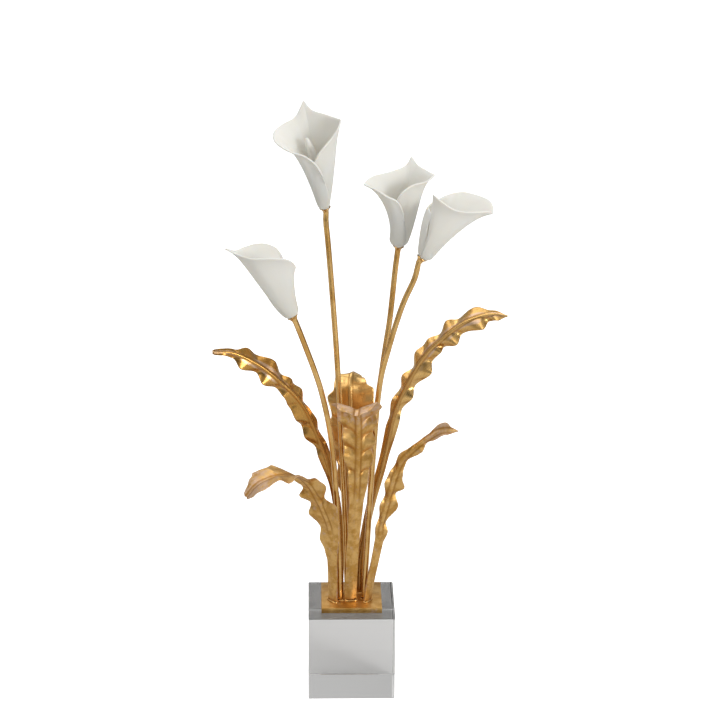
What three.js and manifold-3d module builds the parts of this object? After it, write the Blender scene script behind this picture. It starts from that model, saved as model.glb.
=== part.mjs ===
// Four arum lilies with waved leaves on a crystal block: porcelain blooms, gilded stems and leaves.
// Millimetres, +Z up. The origin is the middle of the block's bottom face, and the front is -Y.
import * as THREE from "three";
import { mergeVertices } from "three/addons/utils/BufferGeometryUtils.js";
import Module from "manifold-3d";

const wasm = await Module();
wasm.setup();

// Base
const BLOCK_SIDE = 90;
const BLOCK_HEIGHT = 92;
const PLATE_SIDE = 63;
const PLATE_THICKNESS = 6;
const SEAT_GAP = 0.3;
const PLATE_TOP = BLOCK_HEIGHT + SEAT_GAP + PLATE_THICKNESS;
const FOOT = PLATE_TOP + SEAT_GAP;
const LEAF_FOOT = PLATE_TOP + 2 * SEAT_GAP;

// Stems
const STEM_RADIUS = 2.8;
const STEM_ARCS = 5;
const STEM_STEPS = 22;
const STEM_SINK = 1;
const BLOOM_LIFT = 0.8;
const COLLAR_SIDES = 12;
const COLLAR_LENGTH = 6;
const COLLAR_RADII = { foot: 2.5, waist: 3.2, rim: 5.6 };
const WAIST_HEIGHT = 2.4;

// Blooms
const THROAT_RADIUS = 4.6;
const WRAP_RISE = 1.1;
const PETAL_WALL = 0.9;
const LIP_WALL = 1.3;
const BLOOM_LEVELS = 8;
const STATION_LENGTH = 8;
const HANDLES = { belly: 0.42, rim: 0.22 };
const SHOULDER_TURN = { radius: 0.55, height: 0.4 };
const TWIST_SHARE = 0.22;

// Spikes
const SPADIX_SIDES = 10;
const SPADIX_STEPS = 8;
const SPADIX_RADII = { foot: 2.4, belly: 4.3 };
const SPADIX_SWELL = 0.5;
const SPADIX_BLUNTNESS = 8;

// Leaves
const RIB_HALF_WIDTH = 1.7;
const RIB_SHARE = 0.4;
const RIB_WALL = 2.4;
const BLADE_WALL = 1;
const STALK_WALL = 2.6;
const STALK_ROWS = 8;
const BLADE_ROWS = 34;
const ACROSS = [0, 0, 0.5, 1];
const VEIN_SLANT = 0.35;
const SLANT_LENGTH = 0.12;
const THINNING = { from: 0.6, length: 0.15 };
const DISH_POWER = 1.7;

const MERGE_DISTANCE = 1e-4;

const GILDING = { color: 0xb9945c, metalness: 1, roughness: 0.35 };
const PORCELAIN = { color: 0xe4e2dc, metalness: 0, roughness: 0.6 };
const CRYSTAL = { color: 0xdfe3e4, metalness: 0, roughness: 0.05 };

// A stem runs from the plate to the bloom's seat: [x, y, z] from its foot up.
const STEMS = {
  tall: [
    [-4, -6, FOOT],
    [-6, -5, 164],
    [-10, -1, 252],
    [-15.5, 4, 359],
    [-20, 6, 423],
    [-25, 8, 485],
    [-27, 8, 506],
  ],
  middle: [
    [14, 0, FOOT],
    [15, 1, 132],
    [20.5, 4, 239],
    [25, 6, 304],
    [33, 7, 369],
    [37.5, 7, 401],
    [42.4, 6, 454],
    [43.6, 6, 465],
  ],
  right: [
    [13, -9, FOOT],
    [15, -9, 137],
    [20.5, -12, 245],
    [28, -15, 344],
    [35.5, -18, 378],
    [44, -20, 410],
    [51, -22, 432],
    [61, -23, 456],
  ],
  low: [
    [-12, -12, FOOT],
    [-13, -12, 144],
    [-17.5, -15, 237],
    [-23, -19, 292],
    [-32, -23, 337],
    [-38.5, -25, 359],
    [-46, -27, 381],
    [-53, -29, 401],
  ],
};

// A bloom is one petal rolled into a trumpet. Its rim goes round from the outer flap to the inner one
// in arcs that meet in points: [x, y, z, flare], with the flare as the rim's outward lean in degrees.
// The twist turns the foot of the outer flap and of the inner one about the axis, in degrees. The
// belly is the wall's outward lean at the shoulder in degrees, with sway added towards +X.
const BLOOMS = {
  tall: {
    base: [-28, 8, 520],
    mouth: [-42, -6, 596],
    shoulder: [6.5, 4.5],
    belly: 13,
    sway: 7,
    spread: 8,
    twist: [38, 0],
    spadix: [-46.5, -5, 594],
    rim: [
      [
        [-30, -19, 559, 20],
        [-37, -24, 572, 35],
        [-49, -29, 582, 60],
        [-62, -30, 586, 75],
        [-76, -22, 593, 75],
        [-79, -8, 599, 65],
        [-70, 6, 605, 50],
        [-58, 14, 610, 35],
        [-49, 20, 626, 30],
      ],
      [
        [-49, 20, 626, 30],
        [-41, 17, 617, 30],
        [-28, 11, 614, 30],
        [-12, -3, 612, 30],
      ],
      [
        [-12, -3, 612, 30],
        [-15, -12, 606, 20],
        [-24, -17, 594, 15],
        [-33, -20, 584, 15],
        [-38, -18, 574, 12],
        [-42, -12, 564, 6],
      ],
    ],
  },
  middle: {
    base: [45.5, 5, 481],
    mouth: [54, -3, 552],
    shoulder: [9.2, 5],
    belly: 7,
    sway: 8,
    spread: 7,
    twist: [40, 0],
    spadix: [48.5, 2, 519],
    rim: [
      [
        [50, -17, 520, 15],
        [43, -21, 534, 30],
        [32, -23, 540, 50],
        [22, -22, 546, 65],
        [9, -16, 550, 75],
      ],
      [
        [9, -16, 550, 75],
        [18, -2, 554, 65],
        [37, 10, 556, 45],
        [52, 18, 560, 30],
        [58, 21, 569, 30],
      ],
      [
        [58, 21, 569, 30],
        [64, 18, 561, 35],
        [73, 10, 557, 50],
        [81, 0, 555, 60],
      ],
      [
        [81, 0, 555, 60],
        [72, -9, 551, 45],
        [58, -15, 549, 20],
        [47, -18, 542, 15],
        [42, -15, 533, 12],
        [38, -10, 524, 6],
      ],
    ],
  },
  right: {
    base: [68, -25, 478],
    mouth: [104, -26, 534],
    shoulder: [8.3, 4],
    belly: 18,
    sway: -16,
    spread: 2,
    twist: [28, 28],
    spadix: [95, -26, 520],
    rim: [
      [
        [76, -46, 549, 38],
        [86, -52, 542, 34],
        [99, -55, 535, 35],
        [116, -55, 533, 45],
        [129, -50, 532, 46],
        [136, -37, 527, 45],
        [135, -14, 532, 48],
        [122, 2, 534, 42],
        [109, 6, 536, 35],
        [95, 2, 535, 30],
        [82, -10, 532, 8],
        [73.5, -25, 530, -8],
        [77, -38, 525, -12],
      ],
    ],
  },
  low: {
    base: [-60.5, -30, 418.5],
    mouth: [-95, -28, 482],
    shoulder: [8, 4.5],
    belly: 16,
    sway: -4,
    spread: 2,
    twist: [0, 0],
    spadix: [-84, -28, 470],
    rim: [
      [
        [-62, -14, 450, 10],
        [-59, -24, 464, 28],
        [-57.5, -38, 474, 55],
        [-64, -52, 484, 55],
        [-80, -59, 488, 45],
        [-100, -60, 488, 40],
        [-115, -55, 491, 42],
        [-126, -50, 495, 45],
      ],
      [
        [-126, -50, 495, 45],
        [-117, -38, 489, 42],
        [-107, -22, 488, 40],
        [-96, -8, 487, 35],
        [-85, 0, 484, 30],
        [-75, 2, 478, 20],
        [-69, -6, 467, 15],
        [-68, -16, 456, 10],
      ],
    ],
  },
};

// A leaf follows its midrib. The across list turns the blade: [t, x, y, z] points from the midrib to
// the right edge. Each edge lists its crests and dips: [t, reach, lift], with the lift off the
// blade's plane.
const LEAVES = {
  upper_left: {
    midrib: [
      [-12, 3, LEAF_FOOT],
      [-12, 4, 137],
      [-13, 4, 171],
      [-16, 4, 205],
      [-25, 3, 247],
      [-36, 1, 280],
      [-51, -5, 315],
      [-70, -12, 339],
      [-96, -20, 364],
      [-121, -28, 379],
      [-140, -34, 382],
    ],
    bladeFrom: 0.36,
    across: [
      [0, 1, 0, 0],
      [0.35, 1, 0.1, 0.2],
      [0.6, 0.75, 0.35, 0.55],
      [1, 0.1, 0.6, 0.79],
    ],
    right: [
      [0, 3.5, -1],
      [0.36, 4, -1],
      [0.49, 6, -1],
      [0.535, 4, -6],
      [0.575, 6.5, -2],
      [0.605, 5.5, -5],
      [0.645, 3.5, -5],
      [0.675, 10.5, -3],
      [0.7, 9, -6],
      [0.72, 11, -3],
      [0.75, 8.5, -8],
      [0.795, 14, -2],
      [0.85, 10, -7],
      [0.885, 11, -2],
      [0.925, 5, -3],
      [0.97, 3.6, 0],
      [0.992, 3, 0],
      [1, 1.2, 0],
    ],
    left: [
      [0, 3.5, -1],
      [0.36, 4, -1],
      [0.46, 7.5, -1],
      [0.49, 6, -4],
      [0.53, 13, -3],
      [0.57, 10, -7],
      [0.605, 14.5, -1],
      [0.66, 12, -4],
      [0.705, 9.5, -1],
      [0.74, 6, -7],
      [0.785, 14, -1],
      [0.828, 6, -7],
      [0.88, 12.5, -2],
      [0.928, 4, -4],
      [0.97, 3.6, 0],
      [0.992, 3, 0],
      [1, 1.2, 0],
    ],
  },
  upper_right: {
    midrib: [
      [8.5, 4, LEAF_FOOT],
      [9, 8, 130],
      [14, 12, 164],
      [21, 13, 200],
      [30, 12, 235],
      [36, 9, 264],
      [44, 5, 304],
      [54, 3, 330],
      [73, -2, 366],
      [91, -7, 387],
      [114, -13, 407],
      [139, -20, 417],
      [154, -24, 416],
    ],
    bladeFrom: 0.4,
    across: [
      [0, 1, 0, 0],
      [0.35, 1, -0.1, -0.2],
      [0.6, 0.75, -0.3, -0.55],
      [1, -0.05, -0.6, -0.8],
    ],
    right: [
      [0, 3.6, -1],
      [0.4, 4.5, -1],
      [0.515, 7.5, -1],
      [0.55, 5.5, -5],
      [0.595, 12, -1],
      [0.627, 7, -7],
      [0.685, 16.5, -1],
      [0.722, 8, -7],
      [0.763, 10, -2],
      [0.777, 6, -7],
      [0.812, 15, -1],
      [0.843, 7, -7],
      [0.912, 14.5, -1],
      [0.94, 6, -5],
      [0.968, 7, 0],
      [1, 0.9, 0],
    ],
    left: [
      [0, 3.6, -1],
      [0.4, 4.5, -1],
      [0.49, 5.5, -2],
      [0.52, 4.5, -4],
      [0.565, 7.5, -2],
      [0.602, 5, -7],
      [0.638, 9.5, -2],
      [0.668, 5, -9],
      [0.712, 11, -2],
      [0.735, 9.5, -5],
      [0.757, 10.5, -3],
      [0.788, 7.5, -8],
      [0.825, 13, -2],
      [0.855, 8.5, -7],
      [0.905, 11, -1],
      [0.955, 4, -1],
      [1, 0.9, 0],
    ],
  },
  lower_left: {
    midrib: [
      [-20, -15, LEAF_FOOT],
      [-20, -16, 129],
      [-21, -18, 158],
      [-23, -20, 184],
      [-31, -24, 208],
      [-41, -29, 231],
      [-49, -33, 243],
      [-57, -38, 250],
      [-68, -44, 254],
      [-82, -50, 254],
      [-96, -55, 249],
      [-108, -58, 236],
    ],
    bladeFrom: 0.3,
    across: [
      [0, 0.63, -0.77, 0],
      [0.3, 0.85, -0.5, 0],
      [0.6, 0.95, -0.3, 0.1],
      [0.68, 0.8, -0.6, 0.1],
      [0.76, 0.45, -0.89, 0],
      [1, 0.45, -0.89, 0],
    ],
    right: [
      [0, 6.5, -1],
      [0.2, 6, -1],
      [0.33, 9.5, 0],
      [0.4, 13, 1],
      [0.47, 19, 2],
      [0.525, 6, -4],
      [0.59, 18, 2],
      [0.635, 12, -3],
      [0.68, 14, 2],
      [0.73, 14, -2],
      [0.775, 21, 2],
      [0.815, 17, -2],
      [0.88, 18, 1],
      [0.95, 11.5, 0],
      [0.985, 7, 0],
      [1, 3, 0],
    ],
    left: [
      [0, 6.5, -1],
      [0.2, 6, -1],
      [0.255, 8, 0],
      [0.315, 13, 1],
      [0.36, 12, -2],
      [0.445, 17, 2],
      [0.498, 12.5, -4],
      [0.56, 17, 2],
      [0.6, 11, -4],
      [0.66, 12, 1],
      [0.7, 14, -1],
      [0.76, 25, -0.5],
      [0.815, 19.5, -1.5],
      [0.872, 22.5, 0.5],
      [0.905, 15, -0.5],
      [0.96, 9, 0],
      [0.985, 7, 0],
      [1, 3, 0],
    ],
  },
  lower_right: {
    midrib: [
      [17, -15, LEAF_FOOT],
      [20, -16, 123],
      [24, -17, 146],
      [28, -19, 172],
      [32, -21, 196],
      [36, -22, 213],
      [45, -26, 249],
      [51, -28, 263],
      [62, -30, 276],
      [76, -33, 289],
      [90, -36, 298],
      [106, -40, 299],
    ],
    bladeFrom: 0.26,
    across: [
      [0, 0.655, 0.755, 0],
      [0.3, 0.95, 0.3, -0.1],
      [0.6, 0.8, 0.1, -0.55],
      [1, 0.1, -0.5, -0.85],
    ],
    right: [
      [0, 5.4, -1],
      [0.2, 5, -1],
      [0.28, 5.5, -1],
      [0.335, 8, 1],
      [0.375, 5, -3],
      [0.46, 12, 2],
      [0.52, 7, -4],
      [0.555, 13, 2],
      [0.61, 8, 1],
      [0.66, 6, -3],
      [0.7, 5, -5],
      [0.79, 8, 3],
      [0.84, 3.5, -3],
      [0.88, 6, 0],
      [0.94, 5, 1],
      [1, 0.9, 0],
    ],
    left: [
      [0, 5.4, -1],
      [0.2, 4, -1],
      [0.3, 4, -1],
      [0.355, 7, 2],
      [0.405, 3.5, -3],
      [0.46, 8, 2],
      [0.51, 3.5, -4],
      [0.57, 9, 2],
      [0.6, 7, -1],
      [0.625, 7, 1],
      [0.66, 3.5, -5],
      [0.715, 7, 3],
      [0.76, 4, 0],
      [0.81, 2.5, -3],
      [0.86, 3, -3],
      [0.94, 8, 3],
      [0.97, 3, 0],
      [1, 0.9, 0],
    ],
  },
  front: {
    midrib: [
      [-1, -14, LEAF_FOOT],
      [0, -14, 128],
      [1, -15, 157],
      [3, -16, 191],
      [5, -18, 226],
      [6, -20, 260],
      [6, -23, 294],
      [5, -28, 315],
      [4, -34, 322],
      [4, -42, 324],
      [3, -49, 321],
    ],
    bladeFrom: 0.42,
    across: [
      [0, 1, 0.1, 0],
      [1, 1, 0, 0],
    ],
    right: [
      [0, 6, -2],
      [0.3, 6.3, -1],
      [0.45, 7.5, 0],
      [0.56, 11, 1],
      [0.6, 11.5, -2],
      [0.645, 15.5, 2],
      [0.69, 14.5, -3],
      [0.725, 18, 2],
      [0.765, 15, -4],
      [0.805, 20, 0],
      [0.84, 19, -5],
      [0.88, 25, 0],
      [0.925, 21, -3],
      [0.96, 16, -3],
      [1, 3, 0],
    ],
    left: [
      [0, 6, -2],
      [0.3, 6.3, -1],
      [0.45, 7.5, 0],
      [0.54, 9.5, 1],
      [0.6, 10.5, -2],
      [0.66, 15.5, 2],
      [0.705, 15, -3],
      [0.75, 17, 2],
      [0.79, 16, -4],
      [0.835, 21, 0],
      [0.87, 21, -5],
      [0.905, 26, -4],
      [0.94, 20, -4],
      [0.965, 20, -3],
      [1, 4, 0],
    ],
  },
  back: {
    midrib: [
      [-3, 10, LEAF_FOOT],
      [-4, 12, 133],
      [-4, 14, 178],
      [-3, 16, 222],
      [-1, 19, 266],
      [-1, 23, 298],
      [-1.5, 28, 323],
      [-0.5, 36, 332],
      [2, 46, 331],
      [3, 56, 324],
    ],
    bladeFrom: 0.4,
    across: [
      [0, 1, 0, 0],
      [1, 1, 0, 0],
    ],
    right: [
      [0, 3.5, 1],
      [0.4, 5, 1],
      [0.5, 10, -1],
      [0.55, 9, 3],
      [0.62, 16, -2],
      [0.66, 14, 3],
      [0.72, 22, -2],
      [0.76, 24, 0],
      [0.81, 24.5, -4],
      [0.85, 17, -5],
      [0.9, 14, -8],
      [0.95, 8, -4],
      [1, 2, 0],
    ],
    left: [
      [0, 3.5, 1],
      [0.4, 6, 1],
      [0.47, 13, -1],
      [0.52, 12, 3],
      [0.58, 21, -2],
      [0.62, 19, 3],
      [0.68, 23, -2],
      [0.72, 20, 3],
      [0.785, 24, -3],
      [0.83, 17, -3],
      [0.88, 16, -7],
      [0.94, 10, -5],
      [1, 2, 0],
    ],
  },
};

function vectors(points) {
  return points.map(([x, y, z]) => new THREE.Vector3(x, y, z));
}

function smoothCurve(points) {
  return new THREE.CatmullRomCurve3(vectors(points), false, "centripetal");
}

// A value between knots that is level at every knot, so each knot is a crest or a dip.
function eased(knots, t, column) {
  const next = knots.findIndex((knot) => knot[0] >= t);
  if (next === 0) return knots[0][column];
  if (next < 0) return knots[knots.length - 1][column];
  const [before, after] = [knots[next - 1], knots[next]];
  const share = THREE.MathUtils.smoothstep(t, before[0], after[0]);
  return THREE.MathUtils.lerp(before[column], after[column], share);
}

function straight(knots, t, column) {
  const next = Math.max(1, knots.findIndex((knot) => knot[0] >= t));
  const [before, after] = [knots[next - 1], knots[next]];
  const share = (t - before[0]) / (after[0] - before[0]);
  return THREE.MathUtils.lerp(before[column], after[column], share);
}

// A closed solid round a grid of middle points, with half of the wall on each side.
function sheetSolid(rows, wallAt) {
  const last = rows.length - 1;
  const end = rows[0].length - 1;
  const positions = [];
  const index = [];
  const at = (i, j, side) => (i * (end + 1) + j) * 2 + side;
  rows.forEach((row, i) =>
    row.forEach((middle, j) => {
      const along = rows[Math.min(i + 1, last)][j].clone().sub(rows[Math.max(i - 1, 0)][j]);
      const across = row[Math.min(j + 1, end)].clone().sub(row[Math.max(j - 1, 0)]);
      const normal = across.cross(along).normalize().multiplyScalar(wallAt(i, j) / 2);
      positions.push(...middle.clone().add(normal), ...middle.clone().sub(normal));
    }),
  );
  const quad = (a, b, c, d) => index.push(a, b, c, a, c, d);
  for (let i = 0; i < last; i++)
    for (let j = 0; j < end; j++) {
      quad(at(i, j, 0), at(i, j + 1, 0), at(i + 1, j + 1, 0), at(i + 1, j, 0));
      index.push(at(i, j, 1), at(i + 1, j + 1, 1), at(i, j + 1, 1));
      index.push(at(i, j, 1), at(i + 1, j, 1), at(i + 1, j + 1, 1));
    }
  for (let i = 0; i < last; i++) {
    quad(at(i, 0, 1), at(i, 0, 0), at(i + 1, 0, 0), at(i + 1, 0, 1));
    quad(at(i, end, 0), at(i, end, 1), at(i + 1, end, 1), at(i + 1, end, 0));
  }
  for (let j = 0; j < end; j++) {
    quad(at(0, j, 0), at(0, j, 1), at(0, j + 1, 1), at(0, j + 1, 0));
    quad(at(last, j, 1), at(last, j, 0), at(last, j + 1, 0), at(last, j + 1, 1));
  }
  const geometry = new THREE.BufferGeometry();
  geometry.setAttribute("position", new THREE.Float32BufferAttribute(positions, 3));
  geometry.setIndex(index);
  return geometry;
}

function solid(geometry) {
  const bare = geometry.clone().deleteAttribute("normal").deleteAttribute("uv");
  const merged = mergeVertices(bare, MERGE_DISTANCE);
  return new wasm.Manifold(
    new wasm.Mesh({
      numProp: 3,
      vertProperties: merged.attributes.position.array,
      triVerts: new Uint32Array(merged.index.array),
    }),
  );
}

function joined(first, second) {
  const mesh = solid(first).add(solid(second)).getMesh();
  const geometry = new THREE.BufferGeometry();
  geometry.setAttribute("position", new THREE.BufferAttribute(mesh.vertProperties, 3));
  geometry.setIndex(new THREE.BufferAttribute(mesh.triVerts, 1));
  return geometry;
}

// The blade's place at t along the midrib, with its own tangent, right and face directions.
function bladeFrame(leaf, curve, t) {
  const middle = curve.getPointAt(t);
  const tangent = curve.getTangentAt(t);
  const right = new THREE.Vector3(...[1, 2, 3].map((k) => straight(leaf.across, t, k)));
  right.addScaledVector(tangent, -right.dot(tangent)).normalize();
  const face = new THREE.Vector3().crossVectors(right, tangent);
  return { middle, tangent, right, face };
}

function leafGeometry(leaf) {
  const curve = smoothCurve(leaf.midrib);
  const stops = [];
  for (let k = 0; k < STALK_ROWS; k++) stops.push((leaf.bladeFrom * k) / STALK_ROWS);
  for (let k = 0; k <= BLADE_ROWS; k++)
    stops.push(leaf.bladeFrom + ((1 - leaf.bladeFrom) * k) / BLADE_ROWS);
  const columns = [...ACROSS.keys()].slice(1).reverse().map((k) => -k).concat([...ACROSS.keys()]);
  const rows = stops.map((t) => {
    const { middle, tangent, right, face } = bladeFrame(leaf, curve, t);
    const grown = THREE.MathUtils.smoothstep(t, leaf.bladeFrom, leaf.bladeFrom + SLANT_LENGTH);
    return columns.map((column) => {
      const edge = column < 0 ? leaf.left : leaf.right;
      const reach = eased(edge, t, 1);
      const rib = Math.min(RIB_HALF_WIDTH, reach * RIB_SHARE);
      const order = Math.abs(column);
      const out = order === 0 ? 0 : THREE.MathUtils.lerp(rib, reach, ACROSS[order]);
      const share = Math.pow(out / reach, DISH_POWER);
      return middle
        .clone()
        .addScaledVector(right, Math.sign(column) * out)
        .addScaledVector(face, eased(edge, t, 2) * share)
        .addScaledVector(tangent, VEIN_SLANT * grown * out);
    });
  });
  const thinFrom = leaf.bladeFrom * THINNING.from;
  const thinTo = leaf.bladeFrom + THINNING.length;
  const wall = (i, j) => {
    const blade = columns[j] === 0 ? RIB_WALL : BLADE_WALL;
    const thinned = THREE.MathUtils.smoothstep(stops[i], thinFrom, thinTo);
    return THREE.MathUtils.lerp(STALK_WALL, blade, thinned);
  };
  return sheetSolid(rows, wall);
}

// The rim of a bloom as stations about STATION_LENGTH apart, with each arc's ends kept.
function rimStations(arcs) {
  const stations = [];
  arcs.forEach((arc, a) => {
    const curve = smoothCurve(arc);
    const steps = Math.round(curve.getLength() / STATION_LENGTH);
    for (let k = a === 0 ? 0 : 1; k <= steps; k++) {
      const at = (k / steps) * (arc.length - 1);
      const low = Math.min(Math.floor(at), arc.length - 2);
      const flare = THREE.MathUtils.lerp(arc[low][3], arc[low + 1][3], at - low);
      stations.push({ point: curve.getPoint(k / steps), flare });
    }
  });
  return stations;
}

function bloomGeometry(bloom) {
  const [base, mouth] = vectors([bloom.base, bloom.mouth]);
  const axis = mouth.clone().sub(base).normalize();
  const stations = rimStations(bloom.rim);
  const lean = (degrees, outward) => {
    const angle = THREE.MathUtils.degToRad(degrees);
    return axis.clone().multiplyScalar(Math.cos(angle)).addScaledVector(outward, Math.sin(angle));
  };
  const [outerTwist, innerTwist] = bloom.twist;
  const rows = stations.map(({ point, flare }, i) => {
    const outward = point.clone().sub(base);
    outward.addScaledVector(axis, -outward.dot(axis)).normalize();
    const share = i / (stations.length - 1);
    const side = 1 - 2 * share;
    const wrap = WRAP_RISE * side;
    const belly = bloom.belly + bloom.sway * outward.x + bloom.spread * Math.pow(side, 3);
    const outer = outerTwist * (1 - THREE.MathUtils.smoothstep(share, 0, TWIST_SHARE));
    const inner = innerTwist * THREE.MathUtils.smoothstep(share, 1 - TWIST_SHARE, 1);
    const twisted = outward.clone().applyAxisAngle(axis, THREE.MathUtils.degToRad(outer + inner));
    const ring = (radius, height) =>
      base
        .clone()
        .addScaledVector(twisted, radius + wrap)
        .addScaledVector(axis, height);
    const [width, height] = bloom.shoulder;
    const start = ring(width, height);
    const length = start.distanceTo(point);
    const curve = new THREE.CubicBezierCurve3(
      start,
      start.clone().addScaledVector(lean(belly, twisted), length * HANDLES.belly),
      point.clone().addScaledVector(lean(flare, outward), -length * HANDLES.rim),
      point,
    );
    const turn = THREE.MathUtils.lerp(THROAT_RADIUS, width, SHOULDER_TURN.radius);
    const throat = [ring(THROAT_RADIUS, 0), ring(turn, height * SHOULDER_TURN.height)];
    return [...throat, ...curve.getPoints(BLOOM_LEVELS)];
  });
  const lipFrom = (rows[0].length - 1) / 2;
  const wall = (i, j) =>
    THREE.MathUtils.lerp(PETAL_WALL, LIP_WALL, THREE.MathUtils.smoothstep(j, lipFrom, 2 * lipFrom));
  return sheetSolid(rows, wall);
}

// A rod of rings along a line, closed to a point at its top.
function spadixGeometry(bloom) {
  const [base, top] = vectors([bloom.base, bloom.spadix]);
  const length = top.distanceTo(base);
  const profile = [new THREE.Vector2(0, 0)];
  for (let k = 0; k < SPADIX_STEPS; k++) {
    const t = k / SPADIX_STEPS;
    const swell = THREE.MathUtils.smoothstep(t, 0, SPADIX_SWELL);
    const round = Math.sqrt(1 - Math.pow(t, SPADIX_BLUNTNESS));
    const radius = THREE.MathUtils.lerp(SPADIX_RADII.foot, SPADIX_RADII.belly, swell) * round;
    profile.push(new THREE.Vector2(radius, t * length));
  }
  profile.push(new THREE.Vector2(0, length));
  const geometry = new THREE.LatheGeometry(profile, SPADIX_SIDES);
  const up = new THREE.Vector3(0, 1, 0);
  const turn = new THREE.Quaternion().setFromUnitVectors(up, top.sub(base).normalize());
  return geometry.applyQuaternion(turn).translate(...base);
}

// A stem is a tube with a flared collar fused to its top. The tube ends STEM_SINK inside the collar.
function stemGeometry(route, bloom) {
  const [base, mouth] = vectors([bloom.base, bloom.mouth]);
  const axis = mouth.sub(base).normalize();
  const seat = base.clone().addScaledVector(axis, -BLOOM_LIFT);
  const neck = seat.clone().addScaledVector(axis, -COLLAR_LENGTH);
  const inside = seat.clone().addScaledVector(axis, -STEM_SINK);
  const curve = new THREE.CatmullRomCurve3([...vectors(route), inside], false, "centripetal");
  const section = new THREE.Shape().absarc(0, 0, STEM_RADIUS, 0, 2 * Math.PI);
  const tube = new THREE.ExtrudeGeometry(section, {
    steps: STEM_STEPS,
    curveSegments: STEM_ARCS,
    bevelEnabled: false,
    extrudePath: curve,
  });
  const profile = [
    [0, 0],
    [COLLAR_RADII.foot, 0],
    [COLLAR_RADII.waist, WAIST_HEIGHT],
    [COLLAR_RADII.rim, COLLAR_LENGTH],
    [0, COLLAR_LENGTH],
  ].map(([radius, height]) => new THREE.Vector2(radius, height));
  const turn = new THREE.Quaternion().setFromUnitVectors(new THREE.Vector3(0, 1, 0), axis);
  const collar = new THREE.LatheGeometry(profile, COLLAR_SIDES).applyQuaternion(turn);
  return joined(tube, collar.translate(...neck));
}

function piece(name, geometry, finish) {
  const mesh = new THREE.Mesh(geometry, new THREE.MeshStandardMaterial(finish));
  mesh.name = name;
  return mesh;
}

const sculpture = new THREE.Group();

const block = piece("crystal_block", new THREE.BoxGeometry(BLOCK_SIDE, BLOCK_SIDE, BLOCK_HEIGHT), CRYSTAL);
block.position.z = BLOCK_HEIGHT / 2;
sculpture.add(block);

const plate = piece("base_plate", new THREE.BoxGeometry(PLATE_SIDE, PLATE_SIDE, PLATE_THICKNESS), GILDING);
plate.position.z = PLATE_TOP - PLATE_THICKNESS / 2;
sculpture.add(plate);

for (const [place, bloom] of Object.entries(BLOOMS)) {
  sculpture.add(piece("stem_" + place, stemGeometry(STEMS[place], bloom), GILDING));
  sculpture.add(piece("spathe_" + place, bloomGeometry(bloom), PORCELAIN));
  sculpture.add(piece("spadix_" + place, spadixGeometry(bloom), PORCELAIN));
}

for (const [place, leaf] of Object.entries(LEAVES))
  sculpture.add(piece("leaf_" + place, leafGeometry(leaf), GILDING));

export default sculpture;
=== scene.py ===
# %% [markdown]
# # Arum lilies on a crystal block
# Four porcelain blooms stand on gilded stems among waved gilded leaves, on a plate and a clear block.
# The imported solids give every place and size. This lesson bends finer sheets round the same lines,
# then gives each piece the finish that it has on the real object.

# %% Load the solids
import math

import bpy
from mathutils import Matrix, Quaternion, Vector
from mathutils.bvhtree import BVHTree


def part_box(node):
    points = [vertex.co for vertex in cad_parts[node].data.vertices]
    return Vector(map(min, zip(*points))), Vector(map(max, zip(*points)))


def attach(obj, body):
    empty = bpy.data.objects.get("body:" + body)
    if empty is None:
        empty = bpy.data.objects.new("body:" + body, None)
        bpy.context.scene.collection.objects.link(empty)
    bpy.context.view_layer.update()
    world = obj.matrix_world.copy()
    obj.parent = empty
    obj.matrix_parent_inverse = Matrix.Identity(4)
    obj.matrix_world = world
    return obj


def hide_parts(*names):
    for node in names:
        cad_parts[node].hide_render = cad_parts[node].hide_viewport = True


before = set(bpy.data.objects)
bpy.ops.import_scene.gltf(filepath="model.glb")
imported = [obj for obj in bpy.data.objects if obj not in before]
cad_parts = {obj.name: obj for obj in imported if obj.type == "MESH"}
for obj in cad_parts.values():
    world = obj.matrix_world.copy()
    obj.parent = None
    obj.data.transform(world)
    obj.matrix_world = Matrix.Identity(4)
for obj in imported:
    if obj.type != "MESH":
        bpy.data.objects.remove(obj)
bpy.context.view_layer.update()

MM = 0.001

# %% [markdown]
# ## The camera
# A long lens about two and a half metres away, looking down by twenty degrees, flattens the depth, as
# in a catalogue picture. The camera is set first, because every later choice of detail is judged
# through it. Its axes are worked out from a heading, a downward tilt and a slight roll.

# %% Camera
CAMERA_PLACE = Vector((-0.0437, -2.2804, 1.1979))
CAMERA_HEADING = math.radians(1.29)
CAMERA_TILT = math.radians(20.15)
CAMERA_ROLL = math.radians(0.35)
LENS = 120
SENSOR = 36


def camera_turn():
    """The camera's rotation from its heading, tilt and roll."""
    level = math.cos(CAMERA_TILT)
    forward = Vector(
        (math.sin(CAMERA_HEADING) * level, math.cos(CAMERA_HEADING) * level, -math.sin(CAMERA_TILT))
    )
    flat_right = Vector((math.cos(CAMERA_HEADING), -math.sin(CAMERA_HEADING), 0))
    flat_up = flat_right.cross(forward)
    right = flat_right * math.cos(CAMERA_ROLL) + flat_up * math.sin(CAMERA_ROLL)
    up = flat_up * math.cos(CAMERA_ROLL) - flat_right * math.sin(CAMERA_ROLL)
    return Matrix((right, up, -forward)).transposed()


lens = bpy.data.cameras.new("camera")
lens.lens = LENS
lens.sensor_width = SENSOR
camera = bpy.data.objects.new("camera", lens)
camera.matrix_world = Matrix.Translation(CAMERA_PLACE) @ camera_turn().to_4x4()
bpy.context.scene.collection.objects.link(camera)
bpy.context.scene.camera = camera
print("camera at", tuple(round(x, 2) for x in CAMERA_PLACE))

# %% [markdown]
# ## Lines to bend metal and clay along
# A stem or a leaf's midrib is a smooth line through a few chosen points. A centripetal spline
# passes through each point without loops, and measuring its length lets pieces be spread evenly
# along it. Edges are drawn another way: a list of crests and dips, eased so each one is level.

# %% Smooth lines
SAMPLES = 240


def vectors(points):
    return [Vector(point[:3]) for point in points]


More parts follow.
